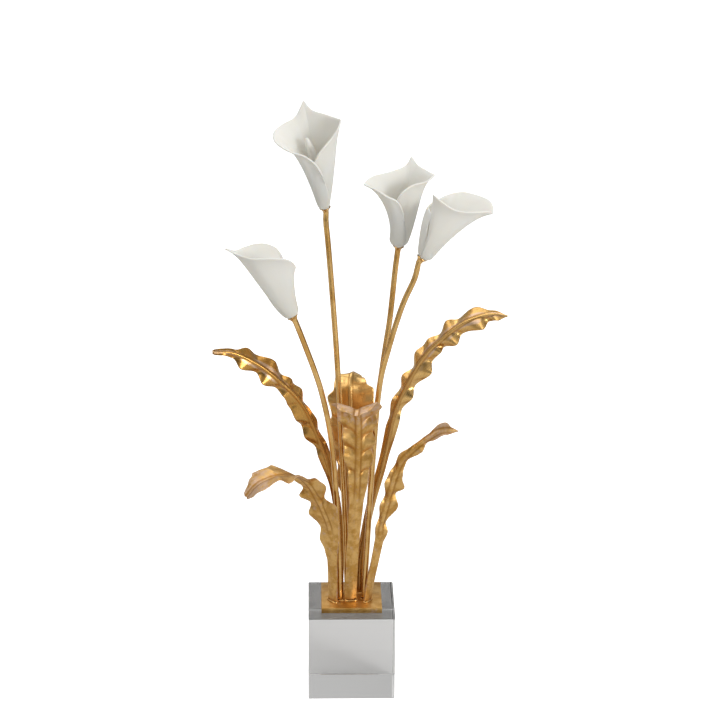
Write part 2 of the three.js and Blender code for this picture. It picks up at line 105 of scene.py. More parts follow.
def spline_point(points, t):
    """The point at t, from 0 to 1, on a centripetal spline through points."""
    place = t * (len(points) - 1)
    first = min(int(place), len(points) - 2)
    s = place - first
    p1, p2 = points[first], points[first + 1]
    p0 = points[first - 1] if first > 0 else p1 * 2 - p2
    p3 = points[first + 2] if first + 2 < len(points) else p2 * 2 - p1
    d0, d1, d2 = ((b - a).length ** 0.5 for a, b in ((p0, p1), (p1, p2), (p2, p3)))
    leave = ((p1 - p0) / d0 - (p2 - p0) / (d0 + d1) + (p2 - p1) / d1) * d1
    arrive = ((p2 - p1) / d1 - (p3 - p1) / (d1 + d2) + (p3 - p2) / d2) * d1
    square = p2 * 3 - p1 * 3 - leave * 2 - arrive
    cube = p1 * 2 - p2 * 2 + leave + arrive
    return p1 + leave * s + square * s**2 + cube * s**3


class Line:
    """A smooth line with places given as shares of its length."""

    def __init__(self, points):
        self.points = vectors(points)
        self.marks = [0.0]
        last = self.points[0]
        for k in range(1, SAMPLES + 1):
            here = spline_point(self.points, k / SAMPLES)
            self.marks.append(self.marks[-1] + (here - last).length)
            last = here
        self.length = self.marks[-1]

    def at(self, share):
        """The point at a share of the length."""
        wanted = min(max(share, 0), 1) * self.length
        k = next((k for k in range(1, SAMPLES) if self.marks[k] >= wanted), SAMPLES)
        span = self.marks[k] - self.marks[k - 1]
        return spline_point(self.points, (k - 1 + (wanted - self.marks[k - 1]) / span) / SAMPLES)

    def direction(self, share, reach=0.002):
        """The unit direction at a share of the length."""
        return (self.at(share + reach) - self.at(share - reach)).normalized()


def smoothstep(x, low, high):
    x = min(max((x - low) / (high - low), 0), 1)
    return x * x * (3 - 2 * x)


def lerp(a, b, share):
    return a + (b - a) * share


def eased(knots, t, column):
    """A value between knots that is level at each knot, so a knot is a crest or a dip."""
    for before, after in zip(knots, knots[1:]):
        if t <= after[0]:
            return lerp(before[column], after[column], smoothstep(t, before[0], after[0]))
    return knots[-1][column]


def straight(knots, t):
    """The values between knots, in proportion."""
    for before, after in zip(knots, knots[1:]):
        if t <= after[0]:
            share = (t - before[0]) / (after[0] - before[0])
            return Vector([lerp(a, b, share) for a, b in zip(before[1:], after[1:])])
    return Vector(knots[-1][1:])


print("spline check, mm:", tuple(round(x) for x in Line([(0, 0, 0), (10, 0, 0), (20, 5, 0)]).at(0.5)))

# %% [markdown]
# ## One way to make every thin piece
# Each leaf was cut from sheet metal and hammered, and each bloom was rolled from a slab of clay.
# Both start here as a grid primitive, whose points are then laid on the piece's own rows. Solidify
# gives the sheet its wall, thicker where a weight is painted, and Subdivision rounds the raw edges.

# %% Sheets
def flattened(points):
    return [value for point in points for value in point]


def clear_selection():
    """Nothing stays selected, so the next operators act on the new piece alone."""
    bpy.ops.object.select_all(action="DESELECT")


def new_piece(name):
    """The primitive that was just added, with its name."""
    piece = bpy.context.object
    piece.name = piece.data.name = name
    return piece


def edit_all():
    bpy.ops.object.mode_set(mode="EDIT")
    bpy.ops.mesh.select_all(action="SELECT")


def turn_outwards():
    """Turns the faces of the piece in edit mode outwards, then leaves the mode and shades it smooth."""
    bpy.ops.mesh.select_all(action="SELECT")
    bpy.ops.mesh.normals_make_consistent(inside=False)
    bpy.ops.object.mode_set(mode="OBJECT")
    bpy.ops.object.shade_smooth()


def bent_sheet(name, rows, maps, weights, wall, thin_share):
    """A grid bent to rows of points in mm. maps holds a (u, v) pair a point for each named UV map."""
    clear_selection()
    wide, long = len(rows[0]), len(rows)
    bpy.ops.mesh.primitive_grid_add(x_subdivisions=wide - 1, y_subdivisions=long - 1, size=1, calc_uvs=False)
    sheet = new_piece(name)
    mesh = sheet.data
    if len(mesh.vertices) != wide * long:
        raise ValueError(name + ": the grid has another number of points")
    order = []
    for vertex in mesh.vertices:
        column = round((vertex.co.x + 0.5) * (wide - 1))
        row = round((vertex.co.y + 0.5) * (long - 1))
        order.append((row, column))
    mesh.vertices.foreach_set("co", flattened([rows[i][j] * MM for i, j in order]))
    for map_name, values in maps.items():
        layer = mesh.uv_layers.new(name=map_name)
        pairs = [values[i][j] for i, j in (order[loop.vertex_index] for loop in mesh.loops)]
        layer.data.foreach_set("uv", flattened(pairs))
    group = sheet.vertex_groups.new(name="wall")
    for vertex, (i, j) in zip(mesh.vertices, order):
        group.add([vertex.index], weights[i][j], "REPLACE")
    solidify = sheet.modifiers.new("wall", "SOLIDIFY")
    solidify.thickness = wall * MM
    solidify.offset = 0
    solidify.vertex_group = "wall"
    solidify.thickness_vertex_group = thin_share
    rounding = sheet.modifiers.new("rounding", "SUBSURF")
    rounding.levels = rounding.render_levels = 1
    for modifier_name in ("wall", "rounding"):
        bpy.ops.object.modifier_apply(modifier=modifier_name)
    edit_all()
    turn_outwards()
    return sheet


def finish_piece(piece, material, slot_name, *nodes):
    """The piece gets its material, moves with the whole object, and stands for its solids."""
    piece.data.materials.append(material)
    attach(piece, "root")
    if nodes:
        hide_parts(*nodes)


# %% [markdown]
# ## Short words for nodes
# A finish is a net of nodes. These helpers add a node, give each input a value or a link, and hand
# on what comes out, so a finish further down reads as a few steps.

# %% Nodes
ORIGIN = (0.0, 0.0, 0.0)


def plug(tree, node, **inputs):
    """Gives inputs a value or a link. Base_Color stands for Base Color, and i0 for the first input."""
    for key, value in inputs.items():
        socket = node.inputs[int(key[1:]) if key[1:].isdigit() else key.replace("_", " ")]
        if isinstance(value, bpy.types.NodeSocket):
            tree.links.new(value, socket)
        else:
            socket.default_value = value
    return node


def add_node(tree, kind, settings=None, **inputs):
    node = tree.nodes.new("ShaderNode" + kind)
    for key, value in (settings or {}).items():
        setattr(node, key, value)
    return plug(tree, node, **inputs)


def math_node(tree, operation, first, second=0.0, third=0.0, clamp=False):
    settings = {"operation": operation, "use_clamp": clamp}
    return add_node(tree, "Math", settings, i0=first, i1=second, i2=third).outputs[0]


def times(tree, first, second, plus=None):
    """first times second, plus a third value where one is given."""
    if plus is None:
        return math_node(tree, "MULTIPLY", first, second)
    return math_node(tree, "MULTIPLY_ADD", first, second, plus)


def larger(tree, first, second):
    return math_node(tree, "MAXIMUM", first, second)


def apart(tree, first, second):
    """How far two values are apart."""
    return math_node(tree, "ABSOLUTE", math_node(tree, "SUBTRACT", first, second))


def ramp(tree, value, low, high, out_low=0.0, out_high=1.0):
    """A soft step from out_low, at low, to out_high, at high."""
    ends = {"From_Min": low, "From_Max": high, "To_Min": out_low, "To_Max": out_high}
    return add_node(tree, "MapRange", {"interpolation_type": "SMOOTHSTEP"}, Value=value, **ends).outputs[0]


def mix_colour(tree, share, first, second):
    return add_node(tree, "Mix", {"data_type": "RGBA"}, i0=share, i6=first, i7=second).outputs[2]


def noise(tree, **inputs):
    return add_node(tree, "TexNoise", **inputs).outputs[0]


def split(tree, vector):
    return add_node(tree, "SeparateXYZ", Vector=vector).outputs


def group_node(tree, group, **inputs):
    return add_node(tree, "Group", {"node_tree": group}, **inputs).outputs


# %% [markdown]
# ## Patterns shared by several pieces
# Gilding isn't one colour. The leaf is laid by hand, so its tone drifts in soft patches, fine brush
# lines run along the metal, and handling wears it to a pinkish grey on crests. The same pinkish grey
# also paints a highlight beside the rib of the upper leaves. Each of these is a node group that
# gives a mask or a height, so stems, leaves and plate share it at their own scale.

# %% Node groups
def node_group(name, inputs, outputs):
    """An empty shader group. An input's default tells its kind, and every output is a number."""
    group = bpy.data.node_groups.new(name, "ShaderNodeTree")
    for socket_name, default in inputs.items():
        kind = "NodeSocketFloat" if isinstance(default, float) else "NodeSocketVector"
        group.interface.new_socket(socket_name, in_out="INPUT", socket_type=kind).default_value = default
    for socket_name in outputs:
        group.interface.new_socket(socket_name, in_out="OUTPUT", socket_type="NodeSocketFloat")
    return group, group.nodes.new("NodeGroupInput").outputs, group.nodes.new("NodeGroupOutput")


def make_mottle():
    """Soft patches of tone, as laid leaf has, with fine grain in them."""
    group, given, result = node_group("mottle", {"Vector": ORIGIN, "Scale": 40.0}, ["Mask", "Grain"])
    patches = noise(group, Vector=given["Vector"], Scale=given["Scale"], Detail=5.0, Roughness=0.62)
    fine = times(group, given["Scale"], 14.0)
    grain = noise(group, Vector=given["Vector"], Scale=fine, Detail=3.0, Roughness=0.7)
    plug(group, result, Mask=ramp(group, patches, 0.36, 0.64), Grain=grain)
    return group


def make_brushing():
    """Fine lines along one axis of the vector: the vector is squeezed along it before the noise."""
    inputs = {"Vector": ORIGIN, "Stretch": (1.0, 1.0, 0.04), "Scale": 900.0}
    group, given, result = node_group("brushing", inputs, ["Lines"])
    squeeze = {"i0": given["Vector"], "i1": given["Stretch"]}
    squeezed = add_node(group, "VectorMath", {"operation": "MULTIPLY"}, **squeeze).outputs[0]
    plug(group, result, Lines=noise(group, Vector=squeezed, Scale=given["Scale"], Detail=4.0, Roughness=0.6))
    return group


def make_wear_and_highlight():
    """Where handling rubs, and a painted highlight on the upper leaves: near an edge or on a crest given as 0
    to 1, broken up by patches.
    """
    inputs = {"Vector": ORIGIN, "Exposed": 0.0, "Scale": 60.0, "Amount": 0.5}
    group, given, result = node_group("wear_and_highlight", inputs, ["Mask"])
    patches = noise(group, Vector=given["Vector"], Scale=given["Scale"], Detail=6.0, Roughness=0.68)
    pushed = times(group, given["Exposed"], given["Amount"], patches)
    plug(group, result, Mask=ramp(group, pushed, 0.62, 0.86))
    return group


MOTTLE = make_mottle()
BRUSHING = make_brushing()
WEAR_AND_HIGHLIGHT = make_wear_and_highlight()
print("groups:", [group.name for group in bpy.data.node_groups])

# %% [markdown]
# ## Gilding
# Satin gilding over sheet metal: metallic everywhere, with a tone that runs from pale straw to a
# deep amber, and worn to a pinkish grey. A thin varnish over it, the coat, adds a sharper gleam.
# On leaves the wear follows a UV map of the edge, because it sits on the rim, and so does a pale
# strip beside the rib, which is a painted highlight. The grooves are painted dark, as patina with
# painted shade, and the satin leaf's rib is painted dark as shade. On stems and plate the object's
# own coordinates will do.

# %% Gilding
STRAW = (0.80, 0.50, 0.175, 1)
AMBER = (0.59, 0.31, 0.07, 1)
# Dark tone in the grooves, patina with painted shade, and painted shade on the satin leaf's rib.
PATINA_AND_SHADE = (0.42, 0.19, 0.035, 1)
# The pinkish grey of wear, also used as a painted highlight beside the rib of the upper leaves.
WEAR_AND_HIGHLIGHT_TONE = (0.72, 0.505, 0.34, 1)
VARNISH_ROUGHNESS = 0.22
WEAR_SCALE = 1.7
LINES_IN_TONE = 0.6
TONE_RANGE = (0.15, 1.35)
NOISE_RANGE = (0.3, 0.7)
WORN_ROUGHNESS = 0.1
GROOVE_HEIGHT = -0.6
GILDING_BUMP = 0.5
BUMP_HEIGHT = 0.0002


def bare_material(name):
    """A material that holds a Principled shader wired to its output."""
    material = bpy.data.materials.new(name)
    material.use_nodes = True
    tree = material.node_tree
    return material, tree, tree.nodes["Principled BSDF"]


def bumped(tree, strength, height):
    return add_node(tree, "Bump", Strength=strength, Distance=BUMP_HEIGHT, Height=height).outputs[0]


def gilding(name, coordinates, exposed, patina_and_shade, look):
    """A gilded finish. The three functions give the vector, where it wears or takes a painted highlight, and
    where patina and painted shade darken it.
    """
    material, tree, shader = bare_material(name)
    vector, patina_and_shade_mask = coordinates(tree), patina_and_shade(tree)
    mottle = group_node(tree, MOTTLE, Vector=vector, Scale=look["patches"])
    lines = group_node(tree, BRUSHING, Vector=vector, Stretch=look["stretch"], Scale=look["brush"])["Lines"]
    wear_and_highlight_inputs = {"Exposed": exposed(tree), "Scale": look["patches"] * WEAR_SCALE, "Amount": look["wear_and_highlight"]}
    wear_and_highlight_mask = group_node(tree, WEAR_AND_HIGHLIGHT, Vector=vector, **wear_and_highlight_inputs)["Mask"]
    tone = times(tree, lines, LINES_IN_TONE, mottle["Mask"])
    tone = math_node(tree, "ADD", tone, look["deep"])
    colour = mix_colour(tree, ramp(tree, tone, *TONE_RANGE), STRAW, AMBER)
    # Wear tone, and on the upper leaves a painted highlight strip beside the rib.
    colour = mix_colour(tree, wear_and_highlight_mask, colour, WEAR_AND_HIGHLIGHT_TONE)
    # Grooves darkened by patina with painted shade, and painted shade on the satin leaf's rib.
    colour = mix_colour(tree, patina_and_shade_mask, colour, PATINA_AND_SHADE)
    base = ramp(tree, lines, *NOISE_RANGE, look["smooth"], look["rough"])
    height = times(tree, lines, look["lines"])
    height = times(tree, mottle["Grain"], look["grain"], height)
    height = times(tree, mottle["Mask"], look["hammering"], height)
    height = times(tree, patina_and_shade_mask, GROOVE_HEIGHT, height)
    plug(tree, shader, Base_Color=colour, Metallic=1.0, Normal=bumped(tree, GILDING_BUMP, height))
    plug(tree, shader, Roughness=times(tree, wear_and_highlight_mask, WORN_ROUGHNESS, base))
    plug(tree, shader, Coat_Weight=look["coat"], Coat_Roughness=VARNISH_ROUGHNESS)
    return material


def object_vector(tree):
    return add_node(tree, "TexCoord").outputs["Object"]


def map_vector(map_name):
    def find(tree):
        return add_node(tree, "UVMap", {"uv_map": map_name}).outputs[0]

    return find


# %% [markdown]
# ## Where the gilding wears and darkens
# Each leaf carries two UV maps. On the edge map, X runs from the rib, 0, to the edge, 1, and Y grows
# to 1 as the blade starts and to 2 at its end. On the blade map, X runs along the rib and Y across
# it, with 0.5 on the rib and 10 cm a unit, so a groove keeps its true width in mm on every leaf.

# %% Wear and patina
MAP_UNIT = 100


def edge_values(tree):
    return split(tree, map_vector("edge")(tree))


def matt_exposure(tree):
    """Worn on the edge here and there, and all over towards the leaf's end."""
    values = edge_values(tree)
    edge = ramp(tree, values["X"], 0.84, 1.0, 0.0, 0.65)
    end = ramp(tree, values["Y"], 1.5, 2.0, 0.25, 0.8)
    return larger(tree, edge, end)


def rib_highlight_and_edge_wear(tree):
    """A painted highlight strip beside the rib on the outer half, in the worn tone, and a trace of wear on
    the edge.
    """
    values = edge_values(tree)
    inside = ramp(tree, values["X"], 0.1, 0.25)
    outside = ramp(tree, values["X"], 0.3, 0.6, 1.0, 0.0)
    # The strip beside the rib is a painted highlight: a pale reflection painted into the colour.
    painted_highlight_strip = times(tree, inside, outside)
    painted_highlight_strip = times(tree, painted_highlight_strip, ramp(tree, values["Y"], 1.05, 1.6))
    edge = ramp(tree, values["X"], 0.9, 1.0, 0.0, 0.4)
    return larger(tree, edge, painted_highlight_strip)


def off_rib(tree):
    """How far a place is from the rib, in the units of the blade map."""
    return apart(tree, split(tree, map_vector("blade")(tree))["Y"], 0.5)


def grooves(place, width, strength):
    """A line along each side of the rib, with its place and width in mm."""

    def find(tree):
        away = apart(tree, off_rib(tree), place / MAP_UNIT)
        line = ramp(tree, away, 0.0, width / MAP_UNIT, strength, 0.0)
        return times(tree, line, ramp(tree, edge_values(tree)["Y"], 0.0, 1.0))

    return find


# The groove lines are painted dark: patina, with painted shade.
SLIM_GROOVES = grooves(2.0, 1.3, 0.7)
WIDE_GROOVES = grooves(2.75, 1.9, 0.8)


def groove_patina_and_rib_shade(tree):
    """The slim grooves, dark with patina and painted shade, and the rib itself, painted dark as shade on the
    inner half of the leaf.
    """
    # Painted shade on the rib, dark on the inner half of the leaf.
    painted_rib_shade = ramp(tree, off_rib(tree), 0.010, 0.019, 0.6, 0.0)
    inner = ramp(tree, edge_values(tree)["Y"], 1.1, 1.6, 1.0, 0.0)
    return larger(tree, SLIM_GROOVES(tree), times(tree, painted_rib_shade, inner))


def even_exposure(tree):
    return 0.35


def no_recess(tree):
    return 0.0


# %% [markdown]
# ## One recipe, several looks
# The upper leaves are burnished satin, and the left one is the same finish painted darker, as
# painted shade. The back one is plain, and the rest are matt and grained. Stems are drawn rod, so
# they are the smoothest, and the plate was brushed across its face. A look holds each pattern's
# scale, how strongly it shows, and the least and most gloss.

# %% Looks
SATIN_LOOK = {
    "stretch": (0.12, 1.0, 1.0), "brush": 60.0, "patches": 3.0, "wear_and_highlight": 0.3, "deep": -0.6,
    "lines": 0.1, "grain": 0.04, "hammering": 0.5, "smooth": 0.25, "rough": 0.33, "coat": 0.3,
}
# The satin look painted darker for the upper left leaf: painted shade.
SHADED_SATIN_LOOK = {**SATIN_LOOK, "deep": 0.6}
PLAIN_LOOK = {**SATIN_LOOK, "wear_and_highlight": 0.0, "lines": 0.0, "hammering": 0.15, "smooth": 0.27, "rough": 0.31}
MATT_LOOK = {
    "stretch": (1.0, 0.3, 1.0), "brush": 90.0, "patches": 9.0, "wear_and_highlight": 0.36, "deep": -0.1,
    "lines": 0.7, "grain": 0.9, "hammering": 0.5, "smooth": 0.4, "rough": 0.54, "coat": 0.08,
}
STEM_LOOK = {
    "stretch": (1.0, 1.0, 0.02), "brush": 900.0, "patches": 30.0, "wear_and_highlight": 0.1, "deep": -0.25,
    "lines": 0.5, "grain": 0.15, "hammering": 0.3, "smooth": 0.14, "rough": 0.24, "coat": 0.35,
}
PLATE_LOOK = {
    "stretch": (0.04, 1.0, 1.0), "brush": 600.0, "patches": 60.0, "wear_and_highlight": 0.2, "deep": 0.0,
    "lines": 1.0, "grain": 0.5, "hammering": 1.2, "smooth": 0.28, "rough": 0.46, "coat": 0.15,
}
LEAF_SATIN = gilding("leaf_satin", map_vector("blade"), rib_highlight_and_edge_wear, groove_patina_and_rib_shade, SATIN_LOOK)
LEAF_PLAIN = gilding("leaf_plain", map_vector("blade"), even_exposure, SLIM_GROOVES, PLAIN_LOOK)
LEAF_SATIN_SHADED = gilding("leaf_satin_shaded", map_vector("blade"), rib_highlight_and_edge_wear, SLIM_GROOVES, SHADED_SATIN_LOOK)
LEAF_MATT = gilding("leaf_matt", map_vector("blade"), matt_exposure, WIDE_GROOVES, MATT_LOOK)
STEM_GILDING = gilding("stem_gilding", object_vector, even_exposure, no_recess, STEM_LOOK)
PLATE_GILDING = gilding("plate_gilding", object_vector, even_exposure, no_recess, PLATE_LOOK)
print("gilding ready, nodes in the matt leaf:", len(LEAF_MATT.node_tree.nodes))

# %% [markdown]
# ## Porcelain and crystal
# The blooms are unglazed porcelain: almost no shine, a little light that spreads inside the clay and
# softens the shades, a warmer, dimmer painted shade down in the throat, and fine lines that rolling
# left from foot to rim. The block is plain clear crystal, where what counts is a true index of
# refraction and clean faces, with only a trace of unevenness in the polish.

# %% Porcelain and crystal
CHALK = (0.775, 0.765, 0.72, 1)
# The throat colour is painted shade. The clay's random drift also leans towards it.
THROAT_SHADE_AND_DRIFT_TONE = (0.70, 0.675, 0.605, 1)
CLAY_PATCHES = 30.0
CLAY_DRIFT = 0.12
ROLLING_STRETCH = (1.0, 0.05, 1.0)
ROLLING_SCALE = 70.0
ROLLING_HEIGHT = 1.5
CLAY_BUMP = 0.2
CLAY_GLOSS = (0.5, 0.66)
SOFTNESS = 0.5
SOFT_COLOURS = (1.0, 0.8, 0.6)
SOFT_REACH = 0.003
CRYSTAL_TINT = (0.965, 0.962, 0.95, 1)
CRYSTAL_INDEX = 1.52
POLISH_SCALE = 18.0
POLISH_FLAW = 0.02


def porcelain(name, throat_shade_share):
    """Unglazed porcelain. The function given paints shade: 0 at the rim, and up to 1 down in the throat."""
    material, tree, shader = bare_material(name)
    mottle = group_node(tree, MOTTLE, Vector=object_vector(tree), Scale=CLAY_PATCHES)
    colour = mix_colour(tree, throat_shade_share(tree), CHALK, THROAT_SHADE_AND_DRIFT_TONE)
    colour = mix_colour(tree, times(tree, mottle["Mask"], CLAY_DRIFT), colour, THROAT_SHADE_AND_DRIFT_TONE)
    rolling = {"Vector": map_vector("petal")(tree), "Stretch": ROLLING_STRETCH, "Scale": ROLLING_SCALE}
    lines = group_node(tree, BRUSHING, **rolling)["Lines"]
    height = times(tree, lines, ROLLING_HEIGHT, mottle["Grain"])
    plug(tree, shader, Base_Color=colour, Normal=bumped(tree, CLAY_BUMP, height))
    plug(tree, shader, Roughness=ramp(tree, mottle["Grain"], *NOISE_RANGE, *CLAY_GLOSS))
    plug(tree, shader, Subsurface_Weight=SOFTNESS, Subsurface_Scale=SOFT_REACH)
    plug(tree, shader, Subsurface_Radius=SOFT_COLOURS)
    return material


def throat_shade(tree):
    """Painted shade, from the rim, 0, to the throat, 1, by the petal map's second value."""
    return ramp(tree, split(tree, map_vector("petal")(tree))["Y"], 0.0, 0.75, 1.0, 0.0)


def even_depth(tree):
    return 0.3


def crystal():
    material, tree, shader = bare_material("crystal")
    polish = noise(tree, Vector=object_vector(tree), Scale=POLISH_SCALE, Detail=2.0)
    plug(tree, shader, Base_Color=CRYSTAL_TINT, Transmission_Weight=1.0, IOR=CRYSTAL_INDEX)
    plug(tree, shader, Roughness=ramp(tree, polish, *NOISE_RANGE, 0.0, POLISH_FLAW))
    return material


PETAL_PORCELAIN = porcelain("petal_porcelain", throat_shade)
SPADIX_PORCELAIN = porcelain("spadix_porcelain", even_depth)
CRYSTAL = crystal()
print("porcelain and crystal ready")

# %% [markdown]
# ## The leaves' lines
# Six leaves rise round the stems. Each has a midrib in space, a direction across the blade, and two
# edges whose crests and dips differ, because the sheet was ruffled by hand. An edge's numbers are
# its place along the leaf, how far it reaches from the rib, and how far it is lifted, in mm.

# %% Leaf values
FOOT = 98.6
LEAF_FOOT = 98.9

LEAVES = {}
LEAVES["upper_left"] = {
    "midrib": [
        (-12, 3, LEAF_FOOT), (-12, 4, 137), (-13, 4, 171), (-16, 4, 205), (-25, 3, 247), (-36, 1, 280),
        (-51, -5, 315), (-70, -12, 339), (-96, -20, 364), (-121, -28, 379), (-140, -34, 382),
    ],
    "blade_from": 0.36,
    "across": [(0, 1, 0, 0), (0.35, 1, 0.1, 0.2), (0.6, 0.75, 0.35, 0.55), (1, 0.1, 0.6, 0.79)],
    "right": [
        (0, 3.5, -1), (0.36, 4, -1), (0.49, 6, -1), (0.535, 4, -6), (0.575, 6.5, -2), (0.605, 5.5, -5),
        (0.645, 3.5, -5), (0.675, 10.5, -3), (0.7, 9, -6), (0.72, 11, -3), (0.75, 8.5, -8),
        (0.795, 14, -2), (0.85, 10, -7), (0.885, 11, -2), (0.925, 5, -3), (0.97, 3.6, 0), (0.992, 3, 0),
        (1, 1.2, 0),
    ],
    "left": [
        (0, 3.5, -1), (0.36, 4, -1), (0.46, 7.5, -1), (0.49, 6, -4), (0.53, 13, -3), (0.57, 10, -7),
        (0.605, 14.5, -1), (0.66, 12, -4), (0.705, 9.5, -1), (0.74, 6, -7), (0.785, 14, -1),
        (0.828, 6, -7), (0.88, 12.5, -2), (0.928, 4, -4), (0.97, 3.6, 0), (0.992, 3, 0), (1, 1.2, 0),
    ],
}
LEAVES["upper_right"] = {
    "midrib": [
        (8.5, 4, LEAF_FOOT), (9, 8, 130), (14, 12, 164), (21, 13, 200), (30, 12, 235), (36, 9, 264),
        (44, 5, 304), (54, 3, 330), (73, -2, 366), (91, -7, 387), (114, -13, 407), (139, -20, 417),
        (154, -24, 416),
    ],
    "blade_from": 0.4,
    "across": [(0, 1, 0, 0), (0.35, 1, -0.1, -0.2), (0.6, 0.75, -0.3, -0.55), (1, -0.05, -0.6, -0.8)],
    "right": [
        (0, 3.6, -1), (0.4, 4.5, -1), (0.515, 7.5, -1), (0.55, 5.5, -5), (0.595, 12, -1), (0.627, 7, -7),
        (0.685, 16.5, -1), (0.722, 8, -7), (0.763, 10, -2), (0.777, 6, -7), (0.812, 15, -1),
        (0.843, 7, -7), (0.912, 14.5, -1), (0.94, 6, -5), (0.968, 7, 0), (1, 0.9, 0),
    ],
    "left": [
        (0, 3.6, -1), (0.4, 4.5, -1), (0.49, 5.5, -2), (0.52, 4.5, -4), (0.565, 7.5, -2), (0.602, 5, -7),
        (0.638, 9.5, -2), (0.668, 5, -9), (0.712, 11, -2), (0.735, 9.5, -5), (0.757, 10.5, -3),
        (0.788, 7.5, -8), (0.825, 13, -2), (0.855, 8.5, -7), (0.905, 11, -1), (0.955, 4, -1), (1, 0.9, 0),
    ],
}
LEAVES["lower_left"] = {
    "midrib": [
        (-20, -15, LEAF_FOOT), (-20, -16, 129), (-21, -18, 158), (-23, -20, 184), (-31, -24, 208),
        (-41, -29, 231), (-49, -33, 243), (-57, -38, 250), (-68, -44, 254), (-82, -50, 254),
        (-96, -55, 249), (-108, -58, 236),
    ],
    "blade_from": 0.3,
    "across": [
        (0, 0.63, -0.77, 0), (0.3, 0.85, -0.5, 0), (0.6, 0.95, -0.3, 0.1), (0.68, 0.8, -0.6, 0.1),
        (0.76, 0.45, -0.89, 0), (1, 0.45, -0.89, 0),
    ],
    "right": [
        (0, 6.5, -1), (0.2, 6, -1), (0.33, 9.5, 0), (0.4, 13, 1), (0.47, 19, 2), (0.525, 6, -4),
        (0.59, 18, 2), (0.635, 12, -3), (0.68, 14, 2), (0.73, 14, -2), (0.775, 21, 2), (0.815, 17, -2),
        (0.88, 17.6, 1), (0.95, 11.5, 0), (0.985, 7, 0), (1, 3, 0),
    ],
    "left": [
        (0, 6.5, -1), (0.2, 6, -1), (0.255, 8, 0), (0.315, 13, 1), (0.36, 12, -2), (0.445, 17, 2),
        (0.498, 12.5, -4), (0.56, 17, 2), (0.6, 11, -4), (0.66, 12, 1), (0.7, 14, -1), (0.76, 25, -0.5),
        (0.815, 19.5, -1.5), (0.872, 22.5, 0.5), (0.905, 15, -0.5), (0.96, 9, 0), (0.985, 7, 0),
        (1, 3, 0),
    ],
}
LEAVES["lower_right"] = {
    "midrib": [
        (17, -15, LEAF_FOOT), (20, -16, 123), (24, -17, 146), (28, -19, 172), (32, -21, 196),
        (36, -22, 213), (45, -26, 249), (51, -28, 263), (62, -30, 276), (76, -33, 289), (90, -36, 298),
        (106, -40, 299),
    ],
    "blade_from": 0.26,
    "across": [
        (0, 0.655, 0.755, 0), (0.3, 0.95, 0.3, -0.1), (0.6, 0.8, 0.1, -0.55), (1, 0.1, -0.5, -0.85),
    ],
    "right": [
        (0, 5.4, -1), (0.2, 5, -1), (0.28, 5.5, -1), (0.335, 8, 1), (0.375, 5, -3), (0.46, 12, 2),
        (0.52, 7, -4), (0.555, 13, 2), (0.61, 8, 1), (0.66, 6, -3), (0.7, 5, -5), (0.79, 8, 3),
        (0.84, 3.5, -3), (0.88, 6, 0), (0.94, 5, 1), (1, 0.9, 0),
    ],
    "left": [
        (0, 5.4, -1), (0.2, 4, -1), (0.3, 4, -1), (0.355, 7, 2), (0.405, 3.5, -3), (0.46, 8, 2),
        (0.51, 3.5, -4), (0.57, 9, 2), (0.6, 7, -1), (0.625, 7, 1), (0.66, 3.5, -5), (0.715, 7, 3),
        (0.76, 4, 0), (0.81, 2.5, -3), (0.86, 3, -3), (0.94, 8, 3), (0.97, 3, 0), (1, 0.9, 0),
    ],
}
LEAVES["front"] = {
    "midrib": [
        (-1, -14, LEAF_FOOT), (0, -14, 128), (1, -15, 157), (3, -16, 191), (5, -18, 226), (6, -20, 260),
        (6, -23, 294), (5, -28, 315), (4, -34, 322), (4, -42, 324), (3, -49, 321),
    ],
    "blade_from": 0.42,
    "across": [(0, 1, 0.1, 0), (1, 1, 0, 0)],
    "right": [
        (0, 6, -2), (0.3, 6.3, -1), (0.45, 7.5, 0), (0.56, 11, 1), (0.6, 11.5, -2), (0.645, 15.5, 2),
        (0.69, 14.5, -3), (0.725, 18, 2), (0.765, 15, -4), (0.805, 20, 0), (0.84, 19, -5), (0.88, 25, 0),
        (0.925, 21, -3), (0.96, 16, -3), (1, 3, 0),
    ],
    "left": [
        (0, 6, -2), (0.3, 6.3, -1), (0.45, 7.5, 0), (0.54, 9.5, 1), (0.6, 10.5, -2), (0.66, 15.5, 2),
        (0.705, 15, -3), (0.75, 17, 2), (0.79, 16, -4), (0.835, 21, 0), (0.87, 21, -5), (0.905, 26, -4),
        (0.94, 20, -4), (0.965, 20, -3), (1, 4, 0),
    ],
}
LEAVES["back"] = {
    "midrib": [
        (-3, 10, LEAF_FOOT), (-4, 12, 133), (-4, 14, 178), (-3, 16, 222), (-1, 19, 266), (-1, 23, 298),
        (-1.5, 28, 323), (-0.5, 36, 332), (2, 46, 331), (3, 56, 324),
    ],
    "blade_from": 0.4,
    "across": [(0, 1, 0, 0), (1, 1, 0, 0)],
    "right": [
        (0, 3.5, 1), (0.4, 5, 1), (0.5, 10, -1), (0.55, 9, 3), (0.62, 16, -2), (0.66, 14, 3),
        (0.72, 22, -2), (0.76, 24, 0), (0.81, 24.5, -4), (0.85, 17, -5), (0.9, 14, -8), (0.95, 8, -4),
        (1, 2, 0),
    ],
    "left": [
        (0, 3.5, 1), (0.4, 6, 1), (0.47, 13, -1), (0.52, 12, 3), (0.58, 21, -2), (0.62, 19, 3),
        (0.68, 23, -2), (0.72, 20, 3), (0.785, 24, -3), (0.83, 17, -3), (0.88, 16, -7), (0.94, 10, -5),
        (1, 2, 0),
    ],
}

# %% [markdown]
# ## Hammering the leaves
# Rows of points run from edge to edge and lean towards the tip, as side veins do. The blade dishes
# more the further out it is, so the rib stays straight while the edges wave. Three small forms lie
# over that: a crease that runs inwards wherever an edge pulls in between two lobes, a channel along
# the rib where the blade turns over, and a ragged ruffle that grows towards the edge.

